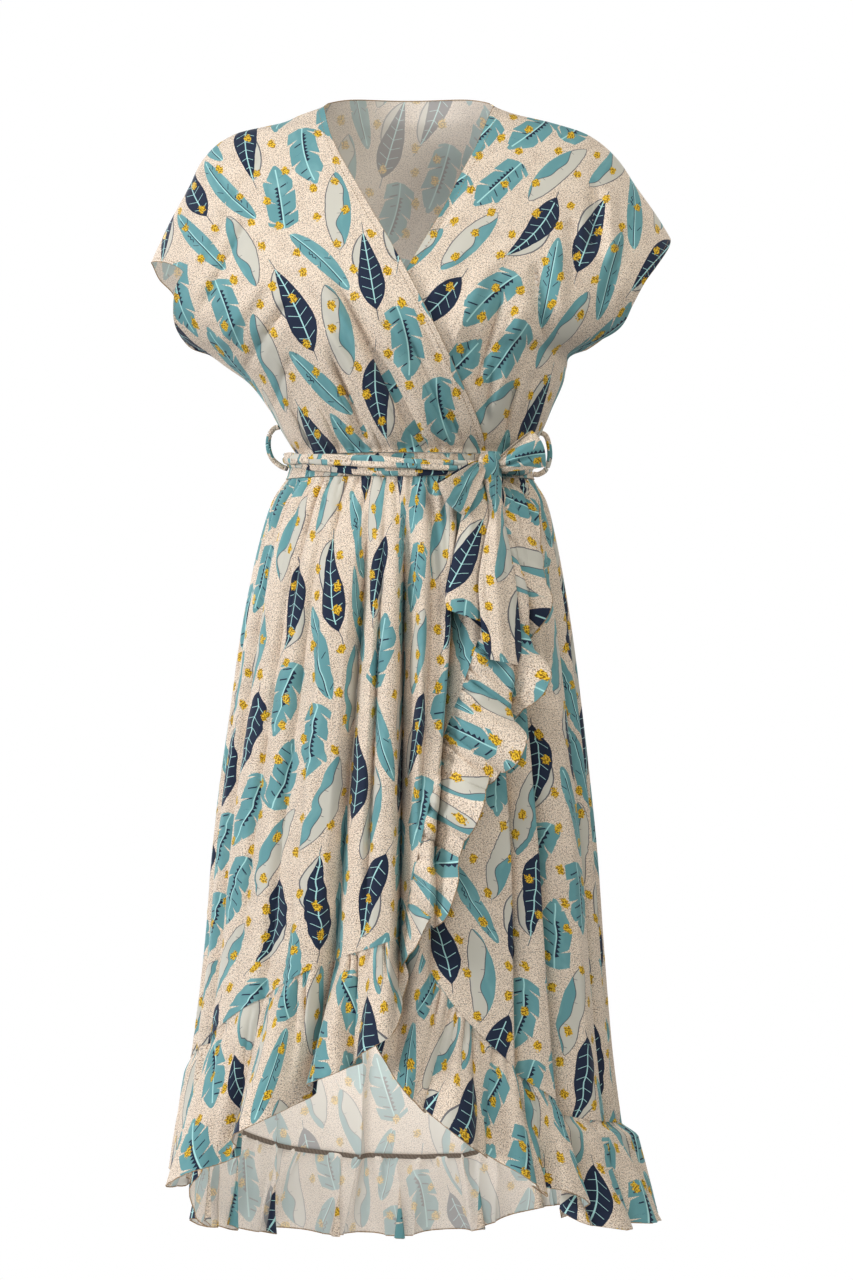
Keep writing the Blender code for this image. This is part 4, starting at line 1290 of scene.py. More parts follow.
def leaf_motifs():
    """One leaf of the print at a face's own place on it: torn, long, dark or split, by its kind."""
    inputs = {"Leaf": "vector", "Motif": "vector", "Teal": "colour", "Navy": "colour", "Vein": "colour",
              "Flank": "colour", "Line": "colour"}
    group, given, leave = new_group("Leaf motifs", inputs, {"Colour": "colour", "Mask": "value"})
    place, raw, _ = split_vector(given["Leaf"])
    kind, own, _ = split_vector(given["Motif"])
    across = raw + (own - 0.5) * 0.8 * (place * place - 0.35)
    out = across.size()
    side = across.above(0.0)
    ragged = noise(group, vector_of(group, place * 3.0, across * 1.3, own * 50.0), 1.0, 3.0, 0.6) - 0.5

    # Torn: a broad blade in slanted lobes, a comb of shadow beside the midrib and a few strokes
    blunt = ((1.04 - place) * 1.7).at_most((place + 1.04) * 5.0).at_most(1.0)
    lobes = (place * (own * 0.6 + 1.3) - out * 0.30 + own * 7.0 + side * 0.37).part()
    torn_half = blunt * ((lobes * 6.0).at_most(1.0) * 0.24 + lobes * 0.14 + 0.62) + ragged * 0.10
    torn = out.below(torn_half) * lobes.above((out - 0.30) * 0.22) * place.size().below(0.985)
    teeth = ((place * 8.5 + ragged).part() - 0.5).size() * 2.0
    comb_long = place.between(own * 0.3 - 0.85, own * 0.4 + 0.12)
    comb = across.between(0.02, teeth * 0.20 + 0.10) * comb_long
    stroke_place = place * 3.4 - out * 0.75 + own * 5.0
    kept = chance(group, vector_of(group, stroke_place.whole(), own * 9.0, 1.0))[0]
    strokes = stroke_place.part().below(0.13) * out.between(0.12, kept * 0.45 + 0.25) * kept.above(0.35)
    strokes = strokes * (1.0 - side)
    torn_dark = comb.at_least(strokes)
    torn_light = out.below(0.045) * place.below(0.86)

    # Long: a smooth blade with a pale midrib, its shadow line and a small zigzag
    long_half = (1.0 - place * place).power(0.58) * (0.98 - place * 0.10) + ragged * 0.13
    nicks = (place * 1.3 + out * 0.25 + own * 4.0).part()
    long_blade = out.below(long_half) * nicks.above((out - 0.66) * 0.16)
    long_light = across.size().below(0.055) * place.below(0.92)
    zigzag = (((place * 9.0 + own * 3.0).part() - 0.5).size() * 0.36 + 0.30 - out).size().below(0.055)
    zigzag = zigzag * place.between(own - 0.52, own - 0.26) * side
    ticks = (place * 1.5 - out * 0.4 + own * 6.0).part().below(0.035) * out.between(0.30, 0.72)
    line = across.between(0.05, 0.145) * place.between(-0.92, 0.75)
    long_dark = line.at_least(ticks).at_least(zigzag)

    # Dark: a navy blade with pale ribs, and a grey flank in a thin outline behind its blunt end
    tip = ((1.0 - place) * 0.5).power(0.80) * 1.36
    lens = tip * (1.0 - ((0.12 - place).at_least(0.0) * 0.88).power(2.4))
    dark_half = lens * 0.86 + ragged * 0.12
    dark_blade = out.below(dark_half)
    flank_half = (1.0 - ((place - 0.26) * 1.36).squared()).power(0.72) * 0.92 + ragged * 0.10
    flank_blade = across.between(-0.05, flank_half)
    flank = flank_blade * (1.0 - dark_blade)
    rib_place = place * 3.9 - out * 0.85 + own
    ribs = (rib_place.part() - 0.5).size().below(0.032) * out.below(dark_half * 0.78)
    dark_light = ribs.at_least(out.below(0.038)) * dark_blade * place.above(-0.86)
    dark_line = flank * across.above(flank_half - 0.085)
    dark_all = dark_blade.at_least(flank_blade)

    # Split: one side teal, the other grey in a thin outline, with a wavy boundary
    split_half = (1.0 - place * place).power(0.66) + ragged * 0.14
    split_blade = out.below(split_half)
    boundary = (place * 4.4 + own * 6.0).wave() * 0.32 + (place * 10.0 + own * 3.0).wave() * 0.10 + 0.24
    grey_side = across.below(boundary)
    edge_line = out.above(split_half - 0.075) * grey_side
    ticks = (place * 6.0 + own * 9.0).part().below(0.06) * (across - boundary).between(-0.30, 0.0)
    ticks = ticks * (place * 2.0 + own * 4.0).part().below(0.45)
    split_line = (across - boundary).size().below(0.035).at_least(edge_line).at_least(ticks)

    is_torn = kind.below(0.5)
    is_long = kind.between(0.5, 1.5)
    is_dark = kind.between(1.5, 2.5)
    is_split = kind.above(2.5)
    mask = torn * is_torn + long_blade * is_long + dark_all * is_dark + split_blade * is_split
    wash = noise(group, vector_of(group, place * 1.6, across, own * 20.0), 1.0, 2.0)
    teal = blended(group, wash.ramp(0.45, 0.72) * 0.16, given["Teal"], given["Vein"])
    colour = blended(group, is_dark, teal, given["Navy"])
    navy_marks = torn_dark * is_torn + long_dark * is_long
    colour = blended(group, navy_marks, colour, given["Navy"])
    grey_marks = flank * is_dark + grey_side * is_split
    colour = blended(group, grey_marks, colour, given["Flank"])
    lines = dark_line * is_dark + split_line * is_split
    colour = blended(group, lines * 0.85, colour, given["Line"])
    light = torn_light * is_torn + long_light * is_long + dark_light * is_dark
    colour = blended(group, light * 0.9, colour, given["Vein"])
    give(leave, Colour=colour, Mask=mask)
    return group


def rgb(text):
    """Scene-linear colour of a hex colour."""
    parts = [int(text[i:i + 2], 16) / 255 for i in (0, 2, 4)]
    linear = [p / 12.92 if p <= 0.04045 else ((p + 0.055) / 1.055) ** 2.4 for p in parts]
    return (*linear, 1.0)


def uv_of(tree, name):
    return Value(tree, add_node(tree, "ShaderNodeUVMap", uv_map=name).outputs[0])


def new_material(name):
    """A material with its node tree and shader."""
    material = bpy.data.materials.new(name)
    material.use_nodes = True
    return material, material.node_tree, material.node_tree.nodes["Principled BSDF"]


def set_relief(tree, shader, height, strength, distance):
    relief = add_node(tree, "ShaderNodeBump")
    for name, value in (("Strength", strength), ("Distance", distance), ("Height", height)):
        wire(tree, value, relief.inputs[name])
    tree.links.new(relief.outputs[0], shader.inputs["Normal"])


def printed_crepe(name, groups, pale_lit_share):
    """Printed crepe; the third argument is how much of the wrong side's pale colour lies over the print.
    That pale colour is partly the wrong side's own paler print and partly painted light: it is made paler
    still to stand for light that shines through the thin crepe.
    """
    colours = bpy.context.scene.dress_colours
    material, tree, shader = new_material(name)
    flat = uv_of(tree, "flat")

    def inks(**names):
        return {socket: (*getattr(colours, ink), 1.0) for socket, ink in names.items()}

    ground = placed_group(tree, groups["ground"], Flat=flat,
                          **inks(Base="ground", Speck="speck", Grey="grey"))
    leaf = placed_group(tree, groups["leaf"], Leaf=uv_of(tree, "leaf"), Motif=uv_of(tree, "motif"),
                        **inks(Teal="teal", Navy="navy", Vein="vein", Flank="flank", Line="line"))
    gold = placed_group(tree, groups["gold"], Flat=flat, Cell=GOLD_SPACING,
                        **inks(Bright="gold", Dark="dark_gold"))
    colour = blended(tree, leaf["Mask"], ground["Colour"], leaf["Colour"])
    colour = blended(tree, gold["Mask"], colour, gold["Colour"])
    # Painted light: the wrong side's pale colour is partly its own paler print and partly painted
    # brightness for light that shines through the thin crepe.
    if pale_lit_share:
        colour = blended(tree, pale_lit_share, colour, (*colours.wrong_side_lit_through, 1.0))
    wire(tree, colour, shader.inputs["Base Color"])
    wire(tree, gold["Mask"].ramp(0.0, 1.0, 0.82, 0.50), shader.inputs["Roughness"])
    set_relief(tree, shader, placed_group(tree, groups["grain"], Flat=flat)["Height"], 0.35, 0.0006)
    for name, value in (("Sheen Weight", 0.12), ("Sheen Roughness", 0.6), ("Specular IOR Level", 0.22)):
        shader.inputs[name].default_value = value
    return material


def thread(name, colour, groups):
    """Twisted thread: bands of light and shade across it."""
    material, tree, shader = new_material(name)
    flat = uv_of(tree, "flat")
    x, z, _ = split_vector(flat)
    twist = ((x * 1400.0 + z * 900.0).wave() + 1.0) * 0.5
    shade = (*[part * 0.55 for part in colour[:3]], 1.0)
    wire(tree, blended(tree, twist * 0.7, colour, shade), shader.inputs["Base Color"])
    wire(tree, twist.ramp(0.0, 1.0, 0.62, 0.80), shader.inputs["Roughness"])
    grain = placed_group(tree, groups["grain"], Flat=flat)["Height"]
    set_relief(tree, shader, grain + twist * 0.5, 0.3, 0.0002)
    return material


FINISHES = {}


def finishes():
    """The dress's materials, built once."""
    if not FINISHES:
        groups = {"ground": speckled_ground(), "leaf": leaf_motifs(), "gold": gold_blots(),
                  "grain": crepe_grain()}
        # The wrong side and the cut edge take the pale colour, which is partly painted light shining
        # through the cloth.
        for side, name, pale_lit_share in (("right", "crepe_right_side", 0.0), ("wrong", "crepe_wrong_side", 0.50),
                                 ("edge", "crepe_edge", 0.25)):
            FINISHES[side] = printed_crepe(name, groups, pale_lit_share)
        FINISHES["thread"] = thread("beige_thread", rgb("B49A7C"), groups)
        FINISHES["overlock"] = thread("taupe_overlock", rgb("7F7266"), groups)
    return FINISHES


def crepe_set():
    return [finishes()[side] for side in ("right", "wrong", "edge")]


# ---- the pieces ----

EDGES = {}  # lines of points along edges and seams, kept for the sewing


def panel(name, node, points, flat, cut, area, **shell):
    """A gathered sheet of printed crepe that stands for one node."""
    piece = cloth(name, points, flat, crepe_set(), **shell)
    declare(piece, "printed_crepe", node)


class DRESS_OT_bodice(bpy.types.Operator):
    """Two crossed fronts and the back, each cut in one with its share of the sleeves"""
    bl_idname = "dress.bodice"
    bl_label = "Bodice"

    def execute(self, context):
        cut = {-1: ("over_front_bodice", "bodice_front_right", -26.0, (0.02, 0.05)),
               1: ("under_front_bodice", "bodice_front_left", 26.0, (0.17, 0.13))}
        for hand, (name, node, tilt, shift) in cut.items():
            u, v = grid_shares(136, 124, 1.12)
            points = bodice_front(hand, hand < 0, crowded(u), v)
            flat = bodice_flat(points, "front", tilt, shift)
            panel(name, node, points, flat, (0.48, 0.44), 0.118, outward=(0.0, -1.0, 0.0))
            on_cuff = int(np.sum(v[:, -1] <= CUFF_SHARE))
            EDGES["neck", hand] = points[:, 0]
            EDGES["neck stitch", hand] = points[:, 3]
            EDGES["front cuff", hand] = points[:on_cuff, -1]
            EDGES["front cuff stitch", hand] = points[2:on_cuff - 1, -5]
        u, v = grid_shares(168, 104, 1.12)
        halves = []
        for hand, part in ((-1, slice(0, 85)), (1, slice(84, 169))):
            halves.append(bodice_back(hand, crowded(np.abs(u[:, part] - 0.5) * 2), v[:, part]))
        points = np.concatenate((halves[0], halves[1][:, 1:]), axis=1)
        flat = bodice_flat(points, "back", 0.0, (0.09, 0.21))
        panel("bodice_back_panel", "bodice_back", points, flat, (0.66, 0.42), 0.216,
              outward=(0.0, 1.0, 0.0))
        on_neck = crowded(np.abs(u[0] - 0.5) * 2) <= NECK_SHARE
        EDGES["back neck", 0] = points[0, on_neck]
        EDGES["back cuff", -1] = points[:on_cuff, 0]
        EDGES["back cuff", 1] = points[:on_cuff, -1]
        return {"FINISHED"}


class DRESS_OT_skirt(bpy.types.Operator):
    """Over front, under front and back of the skirt, with their folds and waist gathers"""
    bl_idname = "dress.skirt"
    bl_label = "Skirt"

    def execute(self, context):
        ruler = RoundRuler()
        for name, node, edge, side, lift, shift, cut, area in (
                ("over_front_skirt", "skirt_front_right", OVER_EDGE, -90.0, front_lift, (0.10, -0.03),
                 (0.56, 0.63), 0.240),
                ("under_front_skirt", "skirt_front_left", UNDER_EDGE, 90.0, no_lift, (0.23, -0.19),
                 (0.60, 0.70), 0.285)):
            u, v = grid_shares(196, 156, 1.1)
            points, turned, height = skirt_front(edge, side, lift, u, v)
            flat = np.stack((ruler(turned, height) + shift[0], height + shift[1]), -1)
            panel(name, node, points, flat, cut, area)
        u, v = grid_shares(200, 176, 1.1)
        points, turned, height = skirt_back(u, v)
        flat = np.stack((ruler(turned, height, 180.0), height + 0.14), -1)
        panel("skirt_back_panel", "skirt_back", points, flat, (0.90, 0.77), 0.47)
        EDGES["back seam", 0] = points[-1]
        return {"FINISHED"}


def soft_fall(u):
    return mixed(0.58, 1.0, ease(0.6, 0.95, u))


def spread_fall(u):
    return mixed(0.32, 1.0, ease(0.56, 0.70, u))


def straight_fall(u):
    return np.ones_like(u)


def free_flutes(u):
    return mixed(0.35, 1.0, ease(0.05, 0.35, u))


def pressed_then_free(u):
    return mixed(0.02, 1.0, ease(0.60, 0.78, u))


FLOUNCES = (
    ("over_flounce", "ruffle_front_right", OVER_EDGE, OVER_FLUTES, front_lift, spread_fall, free_flutes,
     620),
    ("under_flounce", "ruffle_front_left", UNDER_EDGE, UNDER_FLUTES, no_lift, soft_fall, pressed_then_free,
     620),
    ("back_flounce", "ruffle_back", BACK_EDGE, BACK_FLUTES, no_lift, straight_fall, straight_fall, 420),
)


class DRESS_OT_flounces(bpy.types.Operator):
    """Gathered flounces along the front edges and round the hem"""
    bl_idname = "dress.flounces"
    bl_label = "Flounces"

    def execute(self, context):
        for name, node, edge, flutes, lift, hang, fullness, across in FLOUNCES:
            u, v = grid_shares(across, 32, 1.0)
            points = flounce(edge, flutes, lift, hang, fullness, u, v)
            ribbon = summed(points, 1)[20]
            depth = read(edge, "share", "depth", u)
            flat = np.stack((ribbon[None, :] + 0 * u, 0.05 - v * depth), -1)
            length = HEM_FULLNESS * ribbon[-1]
            panel(name, node, points, flat, (length, float(depth.max())), length * float(depth.mean()))
            EDGES["hem", name] = points[-1]
        return {"FINISHED"}


def waist_place(turned, height, out):
    """Places on the casing and out from it."""
    return round_body(turned, height, np.clip(height, CASING_BOTTOM, CASING_TOP), out)


class DRESS_OT_waist(bpy.types.Operator):
    """Elastic casing round the waist, drawn into small puckers"""
    bl_idname = "dress.waist"
    bl_label = "Waist casing"

    def execute(self, context):
        turned = np.linspace(-180.0, 180.0, 541)
        v = np.linspace(0.0, 1.0, 11)
        turn_grid, v_grid = np.meshgrid(turned, v)
        height = mixed(CASING_TOP, CASING_BOTTOM, v_grid)
        ripple = np.zeros_like(turned)
        random = np.random.default_rng(3)
        count = 110
        for i in range(count):
            middle = -180.0 + (i + random.uniform(0.2, 0.8)) * 360.0 / count
            depth = random.uniform(0.0010, 0.0024)
            ripple -= depth * valley(turned_to(turned, middle) / random.uniform(1.2, 2.0))
        bulge = 0.5 + 0.5 * np.sin(math.pi * v_grid)
        points = waist_place(turn_grid, height, 0.0016 * bulge + ripple[None, :] * bulge)
        run = summed(points, 1)
        flat = np.stack((run[5][None, :] * 1.25 + 0 * v_grid, -v_grid * 0.026), -1)
        panel("waist_channel", "waist_casing", points, flat, (0.90, 0.027), 0.0240, closed=True)
        return {"FINISHED"}


def strap_rings(name, out, seed, shift):
    """A turn of the tie: a soft folded strap that rolls a little as it goes round."""
    turned = np.linspace(-180.0, 180.0, 421)[:-1]
    random = np.random.default_rng(seed)
    middle = read(STRAPS, "angle", name, turned)
    phase = random.uniform(0, 2 * math.pi, 4)
    angle = np.radians(turned)
    wide = STRAP_WIDTH / 2 * (1 + 0.09 * np.sin(6 * angle + phase[2])
                              + 0.07 * np.sin(13 * angle + phase[3]))
    thick = 0.0031 * (1 + 0.16 * np.sin(9 * angle + phase[1]) + 0.10 * np.sin(23 * angle + phase[0]))
    sides = 20
    section = (np.arange(sides) * 2 * math.pi / sides)[None, :]
    up = np.sin(section) * wide[:, None]
    forward = np.sign(np.cos(section)) * np.abs(np.cos(section)) ** 0.8
    dent = np.zeros((len(turned), sides))
    for turns, size in ((3, 0.0013), (5, 0.0009)):
        crease = 0.15 + 0.55 * np.sin(turns * angle + phase[turns % 4])
        dent += size * np.exp(-((np.sin(section) - crease[:, None]) / 0.20) ** 2)
    outward = forward * thick[:, None] - dent * (forward > 0)
    near_side = out * mixed(0.62 if name == "lower" else 0.90, 1.0, np.abs(np.cos(angle)))[:, None]
    rings = waist_place(turned[:, None] + 0 * up, middle[:, None] + 0 * up, near_side + outward)
    rings[..., 2] += up
    length = np.radians(turned)[:, None] * STRAP_RADIUS
    flat = np.stack(np.broadcast_arrays(length + shift[0], section * 0.004 + shift[1]), -1)
    return loft(rings, flat, closed_along=True)


def knot_frame():
    """Middle of the knot, the direction across it towards the wearer's left, and out of it."""
    place = waist_place(KNOT_TURN, KNOT_HEIGHT, 0.0)
    ahead = waist_place(KNOT_TURN + 0.5, KNOT_HEIGHT, 0.0) - place
    across = ahead / np.linalg.norm(ahead)
    out = np.array((across[1], -across[0], 0.0))
    return place + out * KNOT_REACH, across, out


def ribbon_loop(hand, slope, length, half_end, seed):
    """A bow loop: a ribbon that leaves the knot pinched, opens out, turns over and comes back behind."""
    middle, across, out = knot_frame()
    angle = math.radians(slope)
    ahead = across * math.cos(angle) * hand + np.array((0.0, 0.0, 1.0)) * math.sin(angle)
    wide = np.cross(ahead, out)
    wide /= np.linalg.norm(wide)
    ahead = ahead + out * 0.16
    ahead /= np.linalg.norm(ahead)
    start = middle + across * hand * 0.0120 + out * 0.004
    turn, v = np.meshgrid(np.linspace(0.0, 2 * math.pi, 73), np.linspace(0.0, 1.0, 25))
    reach = 0.5 - 0.5 * np.cos(turn)
    half = mixed(0.0060, half_end, reach ** 0.8)
    front = np.sin(turn) > 0
    puff = 0.0044 * np.sign(np.sin(turn)) * np.abs(np.sin(turn)) ** 0.7
    side = 2 * v - 1
    random = np.random.default_rng(seed)
    phase = random.uniform(0, 6.28, 3)
    pleats = 0.0022 * np.sin(side * 6.5 + phase[0]) + 0.0012 * np.sin(side * 12 + phase[1])
    pleats = pleats * (1 - reach) ** 0.8 + 0.0012 * np.sin(side * 3 + phase[2]) * reach
    bow = 0.0035 * (1 - side ** 2) * reach * np.where(front, 1.0, -1.0)
    points = (start + ahead * (length * (reach - 0.06 * side ** 2 * reach))[..., None]
              + wide * (half * side)[..., None] + out * (puff + pleats + bow)[..., None])
    run = summed(points, 1)
    flat = np.stack((v * 0.044 + 0.1 * seed, run[12][None, :] + 0 * v), -1)
    return points, flat


def tail_points(rows, slant, creases, shift):
    """A hanging end of the tie, with creases that run down it and a slanted end."""
    u, v = np.meshgrid(np.linspace(0.0, 1.0, 25), np.linspace(0.0, 1.0, 90))
    keys = np.linspace(0.0, 1.0, len(rows["height"]))
    height, inner, outer, off = (smooth(keys, rows[name], v)
                                 for name in ("height", "inner", "outer", "off"))
    x = mixed(inner, outer, u)
    height = height - slant * u * ease(0.7, 1.0, v)
    depth = read(SKIRT, "height", "front", height) * np.sqrt(
        np.maximum(1 - (x / read(SKIRT, "height", "left", height)) ** 2, 0.0))
    fold = np.zeros_like(x)
    for place, drift, half, size, low, high in creases:
        fold += size * bump((u - place - drift * v) / half) * ease(low - 0.01, low + 0.12, v) * ease(
            high + 0.01, high - 0.12, v)
    fold -= 0.0055 * np.abs(2 * u - 1) ** 3 * ease(0.0, 0.25, v)
    points = np.stack((x, -(depth + off + fold), height), -1)
    flat = np.stack((u * 0.040 + shift[0], -summed(points, 0) + shift[1]), -1)
    return points, flat


def knot_rings():
    """The knot: the tie wrapped over itself, with creases that run down its face."""
    middle, across, out = knot_frame()
    up = np.array((0.0, 0.0, 1.0))
    share = np.linspace(0.0, 1.0, 29)[:, None]
    turn = (np.arange(48) * 2 * math.pi / 48)[None, :]
    high = 0.0150 - 0.0300 * share
    bulk = np.sin(math.pi * np.clip(share * 0.90 + 0.05, 0, 1)) ** 0.42
    half_wide = mixed(0.0105, 0.0128, share) * bulk
    half_deep = 0.0086 * bulk
    wave = (1 + 0.10 * np.sin(turn * 5 + share * 2.5) * np.sin(math.pi * share)
            + 0.05 * np.sin(turn * 9 + 1.3))
    a = np.sign(np.cos(turn)) * np.abs(np.cos(turn)) ** 0.75
    b = np.sign(np.sin(turn)) * np.abs(np.sin(turn)) ** 0.75
    rings = (middle + across * (half_wide * a)[..., None] + out * (half_deep * b * wave)[..., None]
             + up * (high + 0 * turn)[..., None])
    flat = np.stack(np.broadcast_arrays(turn * 0.011 + 0.21, -share * 0.034 + 0.05), -1)
    return loft(rings, flat)


class DRESS_OT_tie(bpy.types.Operator):
    """The tie: two turns round the waist, a knot, two bow loops and two hanging ends"""
    bl_idname = "dress.tie"
    bl_label = "Tie and bow"

    def execute(self, context):
        right = finishes()["right"]
        for name, node, rows, out, seed, shift in (
                ("tie_lower_turn", "belt_lower", "lower", 0.0048, 4, (0.30, 0.11)),
                ("tie_upper_turn", "belt_upper", "upper", 0.0100, 9, (0.52, 0.02))):
            piece = joined(name, [strap_rings(rows, out, seed, shift)], [right])
            declare(piece, "tie_crepe", node)
        piece = joined("tie_knot", [knot_rings()], [right])
        declare(piece, "tie_crepe", "bow_knot")
        both = [right, right, right]
        for name, node, hand, slope, length, half_end, seed, cut, area in (
                ("bow_loop_low", "bow_loop_right", -1, -43.0, 0.058, 0.0225, 2, (0.045, 0.128), 0.0046),
                ("bow_loop_high", "bow_loop_left", 1, 24.0, 0.050, 0.0205, 6, (0.041, 0.113), 0.0039)):
            points, flat = ribbon_loop(hand, slope, length, half_end, seed)
            piece = cloth(name, points, flat, both, closed=True)
            declare(piece, "tie_crepe", node)
        wide_creases = ((0.30, 0.05, 0.16, 0.0022, 0.0, 0.6), (0.70, 0.05, 0.15, -0.0016, 0.05, 0.9))
        narrow_creases = ((0.45, 0.05, 0.22, 0.0030, 0.0, 1.0), (0.12, 0.10, 0.12, -0.0014, 0.3, 1.0),
                          (0.80, -0.05, 0.12, -0.0014, 0.2, 0.9))
        for name, node, rows, slant, creases, shift, length in (
                ("tie_end_wide", "belt_tail_wide", WIDE_TAIL, 0.0125, wide_creases, (0.06, 0.02), 0.168),
                ("tie_end_narrow", "belt_tail_narrow", NARROW_TAIL, 0.006, narrow_creases, (0.19, 0.31),
                 0.233)):
            points, flat = tail_points(rows, slant, creases, shift)
            piece = cloth(name, points, flat, both, thickness=0.0009, outward=(0.0, -1.0, 0.0))
            declare(piece, "tie_crepe", node)
        return {"FINISHED"}


class DRESS_OT_belt_loops(bpy.types.Operator):
    """Narrow turned loops in the side seams, which carry the tie"""
    bl_idname = "dress.belt_loops"
    bl_label = "Belt loops"

    def execute(self, context):
        for name, node, hand, path in (("side_loop_right", "belt_loop_right", -1, RIGHT_CARRIER),
                                       ("side_loop_left", "belt_loop_left", 1, LEFT_CARRIER)):
            half = float(read(SKIRT, "height", "left" if hand > 0 else "right", CASING_TOP))
            out, height = along(path, np.linspace(0.0, 1.0, 46))
            line = np.stack((hand * (half + out), 0.0006 * np.sin(out * 700), height), -1)
            part = round_line(line, 0.0028, sides=12, shift=(0.04 + 0.1 * hand, 0.17))
            piece = joined(name, [part], [finishes()["right"]])
            declare(piece, "tie_crepe", node)
        return {"FINISHED"}


def raised(line, out):
    """A line moved away from the body's axis."""
    away = line * np.array((1.0, 1.0, 0.0))
    return line + out * away / np.maximum(np.linalg.norm(away, axis=1, keepdims=True), 1e-9)


def stitches(line, pitch=0.0042, length=0.0027, radius=0.00032):
    """Short stitches along a line, each one sunk at its ends."""
    run = run_along(line)
    parts = []
    for start in np.arange(pitch / 2, run[-1] - pitch, pitch):
        places = start + length * np.array((0.0, 0.2, 0.8, 1.0))
        middle = np.stack([np.interp(places, run, line[:, axis]) for axis in range(3)], -1)
        middle = raised(middle, np.array((-0.0004, 0.0002, 0.0002, -0.0004))[:, None])
        parts.append(round_line(middle, radius * np.array((0.25, 1.0, 1.0, 0.25)), sides=6))
    return parts


class DRESS_OT_sewing(bpy.types.Operator):
    """Rolled hems, topstitching at neck and cuffs, and the overlocked seam inside the back flounce"""
    bl_idname = "dress.sewing"
    bl_label = "Sewing"

    def execute(self, context):
        if ("hem", "back_flounce") not in EDGES or ("neck", 1) not in EDGES:
            raise RuntimeError("build the bodice, skirt and flounces before the sewing")
        made = finishes()
        rolled = [round_line(raised(line[::2], 0.0002), 0.00062, sides=6)
                  for key, line in EDGES.items() if key[0] == "hem"]
        bound = [round_line(line, 0.00055, sides=6) for key, line in EDGES.items()
                 if key[0] in ("neck", "front cuff", "back cuff", "back neck")]
        rows = []
        for key, line in EDGES.items():
            if key[0].endswith("stitch"):
                rows += stitches(line + np.array((0.0, -0.0006, 0.0)))
        seam = raised(EDGES["back seam", 0], -0.0016) + np.array((0.0, 0.0, -0.001))
        overlocked = [round_line(seam, 0.0027, sides=10, flatness=0.35)]
        for name, parts, finish in (("rolled_hems", rolled, "thread"), ("bound_edges", bound, "thread"),
                                    ("topstitching", rows, "thread"),
                                    ("overlocked_seam", overlocked, "overlock")):
            declare(joined(name, parts, [made[finish]]), "printed_crepe")
        return {"FINISHED"}


